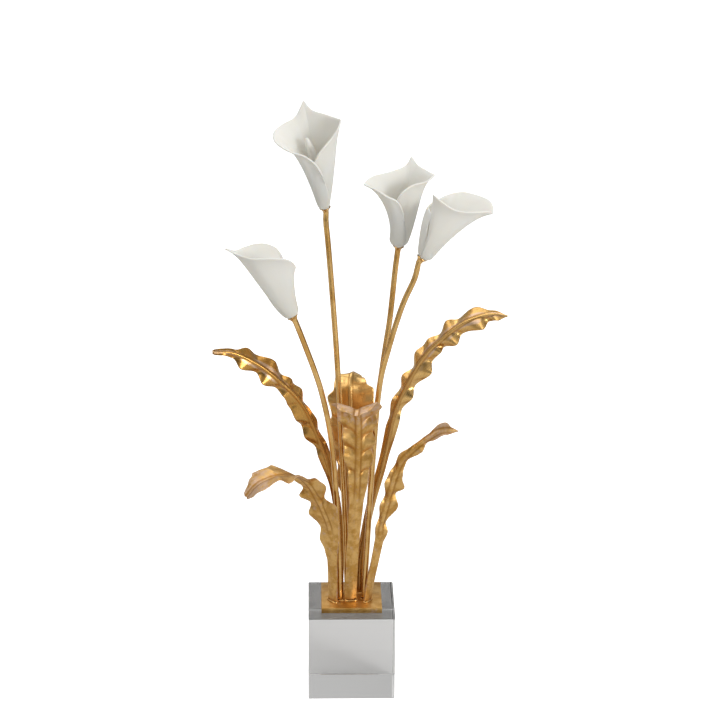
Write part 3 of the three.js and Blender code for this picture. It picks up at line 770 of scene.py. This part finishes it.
# %% Leaf rows and creases
RIB_SHARES = (0, 0.35, 0.7, 0.9, 1.1, 1.5)
BLADE_COLUMNS = 10
STALK_ROWS = 26
BLADE_ROWS = 124
CREASE_WIDTH = 2.6
RUFFLE_WAVES = (6.3, 3.9, 2.7)


def raggedness(place):
    """An uneven wave from -1 to 1 along an edge, from three waves that don't keep step."""
    return sum(math.sin(2 * math.pi * place / wave) for wave in RUFFLE_WAVES) / len(RUFFLE_WAVES)


def leaf_stops(blade_from):
    stalk = [blade_from * k / STALK_ROWS for k in range(STALK_ROWS)]
    return stalk + [blade_from + (1 - blade_from) * k / BLADE_ROWS for k in range(BLADE_ROWS + 1)]


def leaf_columns():
    """Places across half a blade: first inside the rib, as a share of it, and then out to the edge."""
    half = [("rib", share) for share in RIB_SHARES]
    half += [("blade", k / BLADE_COLUMNS) for k in range(1, BLADE_COLUMNS + 1)]
    left = [(-1, kind, share) for kind, share in reversed(half[1:])]
    return left + [(1, kind, share) for kind, share in half]


def crease_places(knots):
    """Where an edge pulls in between two lobes, the sheet keeps a crease that runs in towards the rib."""
    places = []
    for before, here, after in zip(knots, knots[1:], knots[2:]):
        if here[2] < before[2] and here[2] <= after[2] - 1:
            places.append(here[0])
    return places


def crease_depth(places, along, length):
    return sum(math.exp(-(((along - place) * length / CREASE_WIDTH) ** 2)) for place in places)


# %% [markdown]
# ## From rows to a leaf
# The upper leaves are crisp, while the others were worked softer, so each has its own form: how far
# the rib stands out, and how deep creases, channel and ruffle are. The wall is painted as a weight,
# thick in the stalk and along the rib, and thin in the blade. Lengths are in mm, and pairs of
# shares say where a form starts to grow and where it is full.

# %% Leaves
RIB_HALF = 1.7
RIB_MOST = 0.4
STALK_WALL = 2.6
RIB_WALL = 3.6
BLADE_WALL = 1.0
RIB_SLOPE = (0.2, 1.1)
RIB_FADE = 0.8
GROWN_OVER = 0.12
THIN_FROM = 0.6
THIN_OVER = 0.15
VEIN_SLANT = 0.35
DISH_POWER = 1.25
CREASE_GROWS = (0.15, 0.5)
CREASE_FADES = (0.7, 1)
CHANNEL_WIDTH = 4.5
CHANNEL_GROWS = (0.6, 0.85)
RUFFLE_POWER = 3
RUFFLE_REACH = 0.6
SIDES_APART = 9
TIP_GROWS = (0.55, 0.97)
CRISP = {"rib": 1.0, "crease": 1.0, "channel": 0.0, "ruffle": 0.15}
LEAF_FORMS = {
    "front": {"rib": 0.4, "crease": 1.9, "channel": 2.2, "ruffle": 0.6},
    "lower_left": {"rib": 0.35, "crease": 1.0, "channel": 1.6, "ruffle": 0.3},
    "lower_right": {"rib": 0.5, "crease": 1.0, "channel": 0.6, "ruffle": 0.3},
    "back": {"rib": 0.8, "crease": 0.8, "channel": 0.0, "ruffle": 0.15},
}


def leaf_sheet(name, leaf):
    line = Line(leaf["midrib"])
    form = LEAF_FORMS.get(name, CRISP)
    creases = {-1: crease_places(leaf["left"]), 1: crease_places(leaf["right"])}
    blade_from = leaf["blade_from"]
    cells = []
    for t in leaf_stops(blade_from):
        middle, along = line.at(t), line.direction(t)
        right = straight(leaf["across"], t)
        right = (right - along * right.dot(along)).normalized()
        face = right.cross(along)
        grown = smoothstep(t, blade_from, blade_from + GROWN_OVER)
        thinned = smoothstep(t, blade_from * THIN_FROM, blade_from + THIN_OVER)
        tall_rib = lerp(BLADE_WALL, RIB_WALL, form["rib"] * (1 - RIB_FADE * t**3))
        cells.append([])
        for side, kind, share in leaf_columns():
            knots = leaf["left"] if side < 0 else leaf["right"]
            reach = eased(knots, t, 1)
            rib = min(RIB_HALF, reach * RIB_MOST)
            out = rib * share if kind == "rib" else lerp(rib * RIB_SHARES[-1], reach, share)
            dish = eased(knots, t, 2) * (out / reach) ** DISH_POWER
            fan = smoothstep(out / reach, *CREASE_GROWS) * (1 - smoothstep(out / reach, *CREASE_FADES))
            crease = form["crease"] * grown * fan * crease_depth(creases[side], t, line.length)
            channel = math.exp(-((out / CHANNEL_WIDTH) ** 2))
            channel = form["channel"] * smoothstep(t, *CHANNEL_GROWS) * channel
            ragged = raggedness(t * line.length + SIDES_APART * side)
            ruffle = form["ruffle"] * grown * (out / reach) ** RUFFLE_POWER * ragged
            lifted = face * (dish - crease + channel + ruffle)
            point = middle + right * (side * (out + RUFFLE_REACH * ruffle)) + lifted
            point += along * (VEIN_SLANT * grown * out)
            blade_pair = (t * line.length / MAP_UNIT, 0.5 + side * out / MAP_UNIT)
            edge_pair = (out / reach, grown + smoothstep(t, *TIP_GROWS))
            wall = lerp(tall_rib, BLADE_WALL, smoothstep(out / rib, *RIB_SLOPE))
            weight = (lerp(STALK_WALL, wall, thinned) - BLADE_WALL) / (RIB_WALL - BLADE_WALL)
            cells[-1].append((point, blade_pair, edge_pair, weight))
    rows, blade, edge, weights = ([[cell[k] for cell in row] for row in cells] for k in range(4))
    maps = {"blade": blade, "edge": edge}
    return bent_sheet("gilded_leaf_" + name, rows, maps, weights, RIB_WALL, BLADE_WALL / RIB_WALL)


LEAF_PIECES = {name: leaf_sheet(name, leaf) for name, leaf in LEAVES.items()}
for sheet in LEAF_PIECES.values():
    print(sheet.name, len(sheet.data.polygons), "faces")

# %% [markdown]
# ## The blooms' lines
# An arum's bloom is one sheet, a spathe, wrapped round a spike, the spadix. The clay slab's free rim
# rises, turns over and comes to a point. The rim here is a few arcs that meet at corners, each point
# with the lean of the sheet there. Lengths are in mm, and leans and twists in degrees. The belly is
# how far the cup leans out low down, sway moves it to one side, and spread parts the sheet's ends.
# Press is how far the outer flap stands off the layer under it, low down and at the rim.

# %% Bloom values
BLOOMS = {}
BLOOMS["tall"] = {
    "base": (-28, 8, 520),
    "mouth": (-42, -6, 596),
    "shoulder": (6.5, 4.5),
    "belly": 13,
    "sway": 7,
    "spread": 8,
    "outer_twist": 38,
    "press": (-0.4, 0.7),
    "spadix": (-46.5, -5, 594),
    "spadix_bend": 3,
    "rim": [
        [
            (-30, -19, 559, 20), (-37, -24, 572, 35), (-49, -29, 582, 60), (-62, -30, 586, 75),
            (-76, -22, 593, 75), (-79, -8, 599, 65), (-70, 6, 605, 50), (-58, 14, 610, 35),
            (-49, 20, 626, 30),
        ],
        [
            (-41, 17, 617, 30), (-28, 11, 614, 30), (-12, -3, 612, 30),
        ],
        [
            (-15, -12, 606, 20), (-24, -17, 594, 15), (-33, -20, 584, 15), (-38, -18, 574, 12),
            (-42, -12, 564, 6),
        ],
    ],
}
BLOOMS["middle"] = {
    "base": (45.5, 5, 481),
    "mouth": (54, -3, 552),
    "shoulder": (9.2, 5),
    "belly": 7,
    "sway": 8,
    "spread": 7,
    "outer_twist": 40,
    "press": (-0.1, 0.7),
    "spadix": (48.5, 2, 519),
    "rim": [
        [
            (50, -17, 520, 15), (43, -21, 534, 30), (32, -23, 540, 50), (22, -22, 546, 65),
            (9, -16, 550, 75),
        ],
        [
            (18, -2, 554, 65), (37, 10, 556, 45), (52, 18, 560, 30), (58, 21, 569, 30),
        ],
        [
            (64, 18, 561, 35), (73, 10, 557, 50), (81, 0, 555, 60),
        ],
        [
            (72, -9, 551, 45), (58, -15, 549, 20), (47, -18, 542, 15), (42, -15, 533, 12),
            (38, -10, 524, 6),
        ],
    ],
}
BLOOMS["right"] = {
    "base": (68, -25, 478),
    "mouth": (104, -26, 534),
    "shoulder": (8.3, 4),
    "belly": 18,
    "sway": -16,
    "spread": 2,
    "outer_twist": 28,
    "press": (0.5, 0.75),
    "inner_twist": 28,
    "spadix": (95, -26, 520),
    "rim": [
        [
            (76, -46, 549, 38), (86, -52, 542, 34), (99, -55, 535, 35), (116, -55, 533, 45),
            (129, -50, 532, 46), (136, -37, 527, 45), (135, -14, 532, 48), (122, 2, 534, 42),
            (109, 6, 536, 35), (95, 2, 535, 30), (82, -10, 532, 8), (73.5, -25, 530, -8),
            (77, -38, 525, -12),
        ],
    ],
}
BLOOMS["low"] = {
    "base": (-60.5, -30, 418.5),
    "mouth": (-95, -28, 482),
    "shoulder": (8, 4.5),
    "belly": 16,
    "sway": -4,
    "spread": 2,
    "press": (0.5, 0.75),
    "spadix": (-84, -28, 470),
    "rim": [
        [
            (-62, -14, 450, 10), (-59, -24, 464, 28), (-57.5, -38, 474, 55), (-64, -52, 484, 55),
            (-80, -59, 488, 45), (-100, -60, 488, 40), (-115, -55, 491, 42), (-126, -50, 495, 45),
        ],
        [
            (-117, -38, 489, 42), (-107, -22, 488, 40), (-96, -8, 487, 35), (-85, 0, 484, 30),
            (-75, 2, 478, 20), (-69, -6, 467, 15), (-68, -16, 456, 10),
        ],
    ],
}

# %% [markdown]
# ## Rolling the blooms
# For each station along the rim, the sheet runs from a small throat over a shoulder and then in one
# smooth cubic curve up to the rim. The two ends of the sheet overlap like a rolled napkin, so they
# are twisted past each other, and the outer flap is pressed on the layer under it, low down so far
# that it melts in, as soft clay does. The wall is thin and thickens into a rounded lip at the rim.

# %% Rim and flap
STATION_GAP = 2.0
PRESS_STATIONS = 7
PRESS_REACH = 4.0
PRESS_RISE = (0.78, 1.0)


def rim_stations(arcs):
    """Points and leans along the rim. An arc starts where the one before it ends, at a sharp corner."""
    stations = []
    for before, arc in zip([[]] + arcs, arcs):
        arc = before[-1:] + arc
        points = vectors(arc)
        steps = max(2, round(Line(points).length / STATION_GAP))
        for k in range(1 if before else 0, steps + 1):
            t = k / steps
            place = t * (len(arc) - 1)
            first = min(int(place), len(arc) - 2)
            flare = lerp(arc[first][3], arc[first + 1][3], place - first)
            stations.append((spline_point(points, t), flare))
    return stations


def press_flap(columns, base, axis, press):
    """Lays the outer flap's free edge on the layer under it, lower down deep enough to melt in."""
    under = columns[len(columns) // 2:]
    corners = [point for column in under for point in column]
    stops = len(under[0])
    faces = [
        (i * stops + j, (i + 1) * stops + j, (i + 1) * stops + j + 1, i * stops + j + 1)
        for i in range(len(under) - 1)
        for j in range(stops - 1)
    ]
    layer = BVHTree.FromPolygons(corners, faces)
    for i in range(PRESS_STATIONS):
        hold = 1 - smoothstep(i, 0, PRESS_STATIONS)
        for j, point in enumerate(columns[i]):
            inward = base + axis * (point - base).dot(axis) - point
            inward.normalize()
            hit = layer.ray_cast(point - inward * PRESS_REACH, inward, 2 * PRESS_REACH)[0]
            if hit is None:
                continue
            gap = lerp(*press, smoothstep(j / (stops - 1), *PRESS_RISE))
            columns[i][j] = lerp(point, hit - inward * gap, hold)


def bezier(a, b, c, d, t):
    u = 1 - t
    return a * u**3 + b * (3 * u * u * t) + c * (3 * u * t * t) + d * t**3


# %% [markdown]
# ## One column of clay at a time
# A column starts in the throat, turns over the shoulder and meets the rim with the lean that is given
# there. Near the two ends of the sheet it is twisted and hugs its neighbour, so that the layers lie
# on each other, and the wall is drawn out thin, as a potter thins the edge of a seam.

# %% Blooms
THROAT_RADIUS = 4.6
WRAP_RISE = 1.1
PETAL_WALL = 0.9
RIM_WALL = 1.9
HANDLE_BELLY = 0.42
HANDLE_RIM = 0.22
TURN_RADIUS = 0.55
TURN_HEIGHT = 0.4
CURVE_ROWS = 26
HUG_WRAP = -0.25
HUG_SHARE = 0.05
TWIST_SHARE = 0.22
THIN_WALL = 0.45
THIN_STATIONS = 3
LIP_FROM = 0.75


def lean(axis, outward, degrees):
    """The direction that leans outwards from the axis by an angle."""
    angle = math.radians(degrees)
    return axis * math.cos(angle) + outward * math.sin(angle)


def foot_and_axis(bloom):
    base, mouth = vectors([bloom["base"], bloom["mouth"]])
    return base, (mouth - base).normalized()


def bloom_column(bloom, point, flare, share):
    """The sheet's points from the throat up to one station, which lies at a share of the rim."""
    base, axis = foot_and_axis(bloom)
    width, height = bloom["shoulder"]
    outward = point - base
    outward = (outward - axis * outward.dot(axis)).normalized()
    side = 1 - 2 * share
    loose = smoothstep(share, 0, HUG_SHARE)
    wrap = lerp(HUG_WRAP, WRAP_RISE * side, loose)
    belly = bloom["belly"] + bloom["sway"] * outward.x + bloom["spread"] * side**3 * loose
    outer_twist = bloom.get("outer_twist", 0) * (1 - smoothstep(share, 0, TWIST_SHARE))
    inner_twist = bloom.get("inner_twist", 0) * smoothstep(share, 1 - TWIST_SHARE, 1)
    twisted = outward.copy()
    twisted.rotate(Quaternion(axis, math.radians(outer_twist + inner_twist)))
    throat = base + twisted * (THROAT_RADIUS + wrap)
    turn_radius = lerp(THROAT_RADIUS, width, TURN_RADIUS)
    turn = base + twisted * (turn_radius + wrap) + axis * (height * TURN_HEIGHT)
    start = base + twisted * (width + wrap) + axis * height
    length = (point - start).length
    first = start + lean(axis, twisted, belly) * (length * HANDLE_BELLY)
    last = point - lean(axis, outward, flare) * (length * HANDLE_RIM)
    column = [throat, lerp(throat, turn, 0.5), turn, lerp(turn, start, 0.5)]
    return column + [bezier(start, first, last, point, k / CURVE_ROWS) for k in range(CURVE_ROWS + 1)]


def bloom_sheet(name, bloom):
    stations = rim_stations(bloom["rim"])
    last = len(stations) - 1
    columns = [bloom_column(bloom, point, flare, i / last) for i, (point, flare) in enumerate(stations)]
    press_flap(columns, *foot_and_axis(bloom), bloom["press"])
    rows = list(zip(*columns))
    top = len(rows) - 1
    petal_map = [[(i / last, j / top) for i in range(last + 1)] for j in range(top + 1)]
    ends = [smoothstep(min(i, last - i), 0, THIN_STATIONS) for i in range(last + 1)]
    weights = []
    for j in range(top + 1):
        wall = lerp(PETAL_WALL, RIM_WALL, smoothstep(j / top, LIP_FROM, 1))
        weights.append([(lerp(THIN_WALL, wall, end) - THIN_WALL) / (RIM_WALL - THIN_WALL) for end in ends])
    maps = {"petal": petal_map}
    return bent_sheet("porcelain_bloom_" + name, rows, maps, weights, RIM_WALL, THIN_WALL / RIM_WALL)


BLOOM_PIECES = {name: bloom_sheet(name, bloom) for name, bloom in BLOOMS.items()}
for sheet in BLOOM_PIECES.values():
    print(sheet.name, len(sheet.data.polygons), "faces")

# %% [markdown]
# ## Round pieces
# Spikes and stems are round in section and follow a line, so both are made the same way: a ring
# primitive is placed at each stop along the line, the rings are bridged, and the ends are filled.
# Each ring is turned on from the one before it, so the bridged tube has no twist.

# %% Round pieces
RING_SIDES = 28


def ring_turns(directions):
    """A rotation for each ring, from +Z to its direction, with no twist from one ring to the next."""
    turn = Vector((0, 0, 1)).rotation_difference(directions[0])
    turns = [turn]
    for before, after in zip(directions, directions[1:]):
        turn = before.rotation_difference(after) @ turn
        turns.append(turn)
    return turns


def add_ring(centre, radius, turn):
    bpy.ops.mesh.primitive_circle_add(
        vertices=RING_SIDES, radius=radius * MM, location=centre * MM, rotation=turn.to_euler()
    )


def lofted(name, rings):
    """Rings are (centre in mm, direction, radius in mm). The tube between them is closed at both ends."""
    clear_selection()
    turns = ring_turns([direction for centre, direction, radius in rings])
    centre, direction, radius = rings[0]
    add_ring(centre, radius, turns[0])
    tube = new_piece(name)
    bpy.ops.object.transform_apply(location=True, rotation=True, scale=True)
    bpy.ops.object.mode_set(mode="EDIT")
    for (centre, direction, radius), turn in zip(rings[1:], turns[1:]):
        add_ring(centre, radius, turn)
    bpy.ops.mesh.select_all(action="SELECT")
    bpy.ops.mesh.bridge_edge_loops()
    bpy.ops.mesh.select_all(action="SELECT")
    bpy.ops.mesh.fill_holes(sides=0)
    turn_outwards()
    return tube


# %% [markdown]
# ## Spikes
# The spadix in each bloom is a plain porcelain rod. It widens over its lower half, and its rings lie
# closer and closer towards the top, where they shrink into a round dome. The tall one is bent a
# little, so its line gets a bulge halfway.

# %% Spikes
SPIKE_FOOT = 2.4
SPIKE_BELLY = 4.6
SPIKE_RINGS = 26
DOME_POWER = 8


def spike(name, bloom):
    base, top = vectors([bloom["base"], bloom["spadix"]])
    bulge = Vector((bloom.get("spadix_bend", 0), 0, 0))
    line = Line([base, lerp(base, top, 0.5) + bulge, top])
    rings = []
    for k in range(SPIKE_RINGS):
        t = math.sin(k / SPIKE_RINGS * math.pi / 2)
        radius = lerp(SPIKE_FOOT, SPIKE_BELLY, smoothstep(t, 0, 0.5)) * math.sqrt(1 - t**DOME_POWER)
        rings.append((line.at(t), line.direction(t), radius))
    return lofted("porcelain_spike_" + name, rings)


SPIKE_PIECES = {name: spike(name, bloom) for name, bloom in BLOOMS.items()}
print("spikes:", sorted(SPIKE_PIECES))

# %% [markdown]
# ## Stems
# Each stem is a gilded rod bent by hand, so no two follow the same line. Its route runs from the
# plate to just below its bloom, and one more point on the bloom's own axis makes it meet the bloom
# squarely. There it widens into a small cup, whose rings are given by their share of the cup's
# length and by how much wider than the stem they are.

# %% Stem routes
STEM_ROUTES = {
    "tall": [
        (-4, -6, FOOT), (-6, -5, 164), (-10, -1, 252), (-15.5, 4, 359), (-20, 6, 423), (-25, 8, 485),
        (-27, 8, 506),
    ],
    "middle": [
        (14, 0, FOOT), (15, 1, 132), (20.5, 4, 239), (25, 6, 304), (33, 7, 369), (37.5, 7, 401),
        (42.4, 6, 454), (43.6, 6, 465),
    ],
    "right": [
        (13, -9, FOOT), (15, -9, 137), (20.5, -12, 245), (28, -15, 344), (35.5, -18, 378),
        (44, -20, 410), (51, -22, 432), (61, -23, 456),
    ],
    "low": [
        (-12, -12, FOOT), (-13, -12, 144), (-17.5, -15, 237), (-23, -19, 292), (-32, -23, 337),
        (-38.5, -25, 359), (-46, -27, 381), (-53, -29, 401),
    ],
}

# %% Stems
STEM_RADIUS = 2.9
STEM_RINGS = 64
CUP_LENGTH = 6
CUP_RINGS = ((0.0, 1.0), (0.25, 1.03), (0.45, 1.15), (0.65, 1.36), (0.82, 1.64), (0.94, 1.9), (1.0, 2.0))
BLOOM_LIFT = 0.8


def stem(name, route, bloom):
    base, axis = foot_and_axis(bloom)
    seat = base - axis * BLOOM_LIFT
    line = Line(vectors(route) + [seat - axis * CUP_LENGTH])
    shares = [k / STEM_RINGS for k in range(STEM_RINGS)]
    rings = [(line.at(share), line.direction(share), STEM_RADIUS) for share in shares]
    for share, swell in CUP_RINGS:
        rings.append((seat - axis * (CUP_LENGTH * (1 - share)), axis, STEM_RADIUS * swell))
    return lofted("gilded_stem_" + name, rings)


STEM_PIECES = {name: stem(name, route, BLOOMS[name]) for name, route in STEM_ROUTES.items()}
print("stems:", {name: len(piece.data.polygons) for name, piece in STEM_PIECES.items()})

# %% [markdown]
# ## The base
# The block and the plate are true boxes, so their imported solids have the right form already. A small
# bevel on each edge is what catches the light on the real ones, so each is made again from a cube
# with its edges bevelled, and stands for its solid.

# %% Block and plate
FACET_ANGLE = 15


def bevelled_box(name, low, high, width, segments):
    clear_selection()
    bpy.ops.mesh.primitive_cube_add(size=1, location=(low + high) / 2, scale=high - low)
    box = new_piece(name)
    bpy.ops.object.transform_apply(location=True, rotation=True, scale=True)
    edit_all()
    bpy.ops.mesh.bevel(offset=width * MM, segments=segments, profile=0.5)
    turn_outwards()
    bpy.ops.object.shade_smooth_by_angle(angle=math.radians(FACET_ANGLE))
    return box


BLOCK = bevelled_box("crystal_base", *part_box("crystal_block"), width=0.6, segments=2)
PLATE = bevelled_box("gilded_plate", *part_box("base_plate"), width=0.5, segments=3)
print("block and plate:", len(BLOCK.data.polygons), len(PLATE.data.polygons), "faces")

# %% [markdown]
# ## Brazing beads
# Each foot is brazed to the plate, and the filler metal leaves a bright, slightly uneven bead round
# it. A torus primitive has the right section already, so its ring is laid round each foot: a rounded
# square for a stem, and a long oval for a leaf's flat stalk. Slow waves in its width keep it
# hand-made. A wave is its count round the ring, how far the bead's own phase shifts it, and its size.

# %% Beads
BEAD_RADIUS = 0.9
BEAD_SINK = 0.35
BEAD_SIDES = 10
BEAD_STEPS = 72
BEAD_WAVES = ((3, 1, 0.22), (7, 2, 0.12))
BEAD_LEAST = 0.02
MERGE_WITHIN = 0.01
OVAL_POWER = 0.5
STEM_GAP = 0.2
STALK_GAP = 0.3


def bead(name, centre, long_axis, half_length, half_width, phase):
    """A bead round an oval foot. Sizes are in mm, and the foot stands on the plate's top."""
    clear_selection()
    bpy.ops.mesh.primitive_torus_add(
        major_segments=BEAD_STEPS, minor_segments=BEAD_SIDES, major_radius=1, minor_radius=BEAD_RADIUS * MM
    )
    ring = new_piece(name)
    along = Vector((long_axis[0], long_axis[1], 0)).normalized()
    across = Vector((-along.y, along.x, 0))
    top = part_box("base_plate")[1].z
    for vertex in ring.data.vertices:
        angle = math.atan2(vertex.co.y, vertex.co.x)
        cosine, sine = math.cos(angle), math.sin(angle)
        out = math.hypot(vertex.co.x, vertex.co.y) - 1
        swell = 1 + sum(size * math.sin(count * angle + turn * phase) for count, turn, size in BEAD_WAVES)
        flat = math.copysign(abs(cosine) ** OVAL_POWER, cosine)
        deep = math.copysign(abs(sine) ** OVAL_POWER, sine)
        place = along * (half_length * MM * flat) + across * (half_width * MM * deep)
        normal = (along * cosine * half_width + across * sine * half_length).normalized()
        height = top + (BEAD_RADIUS - BEAD_SINK) * MM + vertex.co.z * swell
        flat_place = Vector((centre[0], centre[1], 0)) * MM + place + normal * (out * swell)
        vertex.co = (flat_place.x, flat_place.y, max(height, top + BEAD_LEAST * MM))
    edit_all()
    bpy.ops.mesh.remove_doubles(threshold=MERGE_WITHIN * MM)
    turn_outwards()
    return ring


BEADS = []
for k, (name, route) in enumerate(STEM_ROUTES.items()):
    half = STEM_RADIUS + STEM_GAP
    BEADS.append(bead("bead_stem_" + name, route[0], (1, 0), half, half, k))
for k, (name, leaf) in enumerate(LEAVES.items(), len(STEM_ROUTES)):
    right, left = leaf["right"][0][1], leaf["left"][0][1]
    facing = Vector(leaf["across"][0][1:])
    middle = Vector(leaf["midrib"][0]) + facing * ((right - left) / 2)
    half_length, half_width = (right + left) / 2 + STEM_GAP, STALK_WALL / 2 + STALK_GAP
    BEADS.append(bead("bead_leaf_" + name, middle, facing, half_length, half_width, k))
print("beads:", len(BEADS))

# %% [markdown]
# ## Putting the pieces together
# Each new piece gets its material, moves with the one body, and stands for its imported solid.

# %% Assembly
LEAF_FINISHES = {"upper_left": LEAF_SATIN_SHADED, "upper_right": LEAF_SATIN, "back": LEAF_PLAIN}

for name, sheet in LEAF_PIECES.items():
    finish_piece(sheet, LEAF_FINISHES.get(name, LEAF_MATT), "gilding", "leaf_" + name)
for ring in BEADS:
    finish_piece(ring, STEM_GILDING, "gilding")
for name, sheet in BLOOM_PIECES.items():
    finish_piece(sheet, PETAL_PORCELAIN, "porcelain", "spathe_" + name)
for name, piece in SPIKE_PIECES.items():
    finish_piece(piece, SPADIX_PORCELAIN, "porcelain", "spadix_" + name)
for name, piece in STEM_PIECES.items():
    finish_piece(piece, STEM_GILDING, "gilding", "stem_" + name)
finish_piece(BLOCK, CRYSTAL, "crystal", "crystal_block")
finish_piece(PLATE, PLATE_GILDING, "gilding", "base_plate")
print("pieces placed")

# %% [markdown]
# ## The floor
# The floor is white, and the camera sees it burn out to white, with only a faint shadow where the
# block stands. Three wide soft patches on it, two darker and one paler, hardly show to the camera,
# but crystal and gilding mirror them, as they would mirror cloths laid on a studio's table. A patch
# is its centre, where it is full and where it ends, and how much paler or darker it is.

# %% Floor
FLOOR_SIZE = 14.0
FLOOR_ALBEDO = 0.7
FLOOR_DRIFT = 0.02
FLOOR_GLOW = 0.93
FLOOR_ROUGHNESS = 0.9
FLOOR_SHEEN = 0.1
FLOOR_DROP = 0.6
CLOTHS = (
    ((-0.85, -1.3, 0.0), 0.2, 0.55, -0.6),
    ((-0.5, -0.65, 0.0), 0.2, 0.5, 0.24),
    ((0.6, -0.7, 0.0), 0.2, 0.5, -0.12),
)


def white_floor():
    """A matt white floor that the camera sees a little brighter, so that it burns out to white."""
    material, tree, shader = bare_material("floor_white")
    grain = noise(tree, Vector=object_vector(tree), Scale=3.0, Detail=2.0)
    tone = ramp(tree, grain, *NOISE_RANGE, FLOOR_ALBEDO - FLOOR_DRIFT, FLOOR_ALBEDO)
    for place, near, far, strength in CLOTHS:
        away = add_node(tree, "VectorMath", {"operation": "DISTANCE"}, i0=object_vector(tree), i1=place)
        cover = ramp(tree, away.outputs["Value"], near, far, strength, 0.0)
        tone = math_node(tree, "ADD", tone, cover, clamp=True)
    colour = add_node(tree, "CombineColor", Red=tone, Green=tone, Blue=tone).outputs[0]
    plug(tree, shader, Base_Color=colour, Roughness=FLOOR_ROUGHNESS, Specular_IOR_Level=FLOOR_SHEEN)
    glow = add_node(tree, "Emission", Strength=FLOOR_GLOW)
    seen = add_node(tree, "LightPath").outputs["Is Camera Ray"]
    lit = add_node(tree, "AddShader", i0=shader.outputs[0], i1=glow.outputs[0])
    mixed = add_node(tree, "MixShader", i0=seen, i1=shader.outputs[0], i2=lit.outputs[0])
    plug(tree, tree.nodes["Material Output"], Surface=mixed.outputs[0])
    return material


clear_selection()
bpy.ops.mesh.primitive_plane_add(size=FLOOR_SIZE, location=(0, 0, -FLOOR_DROP * MM))
floor = new_piece("floor")
floor.data.materials.append(white_floor())
print("floor laid")

# %% [markdown]
# ## Lights
# A catalogue picture of this kind is lit by large soft boxes. The key on the right does most of the
# work. The fill gives reflections alone and the two washes give none, so metal and porcelain can be
# balanced apart. Only the top light shows through the crystal, because the others would stand in
# the block as bright squares. A row is name, place, height aimed at, size, watts, and hidden rays.

# %% Lights
LIGHTS = (
    ("key_right", (1.5, -1.5, 0.85), 0.35, (0.7, 0.8), 15.5, ("transmission",)),
    ("fill_left", (-1.3, -1.0, 1.75), 0.35, (1.5, 1.4), 9.5, ("diffuse", "transmission")),
    ("wash_left", (-1.3, -1.0, 1.75), 0.35, (1.5, 1.4), 6.5, ("glossy", "transmission")),
    ("wash_right", (1.1, -1.5, 1.6), 0.35, (1.2, 1.2), 5, ("glossy", "transmission")),
    ("top", (0.0, 0.3, 2.4), 0.3, (2.2, 1.8), 18, ()),
)

for name, place, aim, size, power, hidden_from in LIGHTS:
    data = bpy.data.lights.new(name, "AREA")
    data.shape = "RECTANGLE"
    data.size, data.size_y = size
    data.energy = power
    light = bpy.data.objects.new(name, data)
    light.location = place
    light.rotation_euler = (Vector((0, 0, aim)) - Vector(place)).to_track_quat("-Z", "Y").to_euler()
    for rays in hidden_from:
        setattr(light, "visible_" + rays, False)
    bpy.context.scene.collection.objects.link(light)
print("lights:", [light[0] for light in LIGHTS])

# %% [markdown]
# ## The room
# The camera sees a plain white world, and matt surfaces are lit by an even pale tent. Reflections see
# a room: a dim front wall, a paler back wall and ceiling, a soft panel on the left, and large soft
# shapes all over, because metal and crystal look real only when they have something to mirror.

# %% World
FRONT_WALL = 0.14
BACK_WALL = 0.42
CEILING = 0.3
TENT = 0.52
LEFT_PANEL = 0.16
SHAPES = (0.45, 1.5)


def background(tree, strength, colour=(1, 1, 1, 1)):
    return add_node(tree, "Background", Color=colour, Strength=strength).outputs[0]


def studio_world():
    """White to the camera. To reflections it is a pale ceiling over dim walls."""
    world = bpy.data.worlds.new("studio")
    world.use_nodes = True
    tree = world.node_tree
    tree.nodes.clear()
    around = add_node(tree, "TexCoord").outputs["Generated"]
    direction = split(tree, around)
    walls = ramp(tree, direction["Y"], -0.7, 0.7, FRONT_WALL, BACK_WALL)
    shade = math_node(tree, "ADD", walls, ramp(tree, direction["Z"], 0.1, 0.9, 0.0, CEILING))
    panel = ramp(tree, direction["X"], -0.75, -0.05, LEFT_PANEL, 0.0)
    panel = times(tree, panel, ramp(tree, direction["Y"], -0.3, 0.3, 1.0, 0.0))
    shade = math_node(tree, "ADD", shade, panel)
    shapes = noise(tree, Vector=around, Scale=2.2)
    shade = times(tree, shade, ramp(tree, shapes, 0.35, 0.65, *SHAPES))
    grey = add_node(tree, "CombineColor", Red=shade, Green=shade, Blue=shade).outputs[0]
    path = add_node(tree, "LightPath").outputs
    room, tent, white = background(tree, 1.0, grey), background(tree, TENT), background(tree, 1.0)
    lit = add_node(tree, "MixShader", i0=path["Is Diffuse Ray"], i1=room, i2=tent).outputs[0]
    mixed = add_node(tree, "MixShader", i0=path["Is Camera Ray"], i1=lit, i2=white).outputs[0]
    add_node(tree, "OutputWorld", Surface=mixed)
    return world


bpy.context.scene.world = studio_world()
bpy.context.scene.view_settings.view_transform = "Standard"
print("world ready")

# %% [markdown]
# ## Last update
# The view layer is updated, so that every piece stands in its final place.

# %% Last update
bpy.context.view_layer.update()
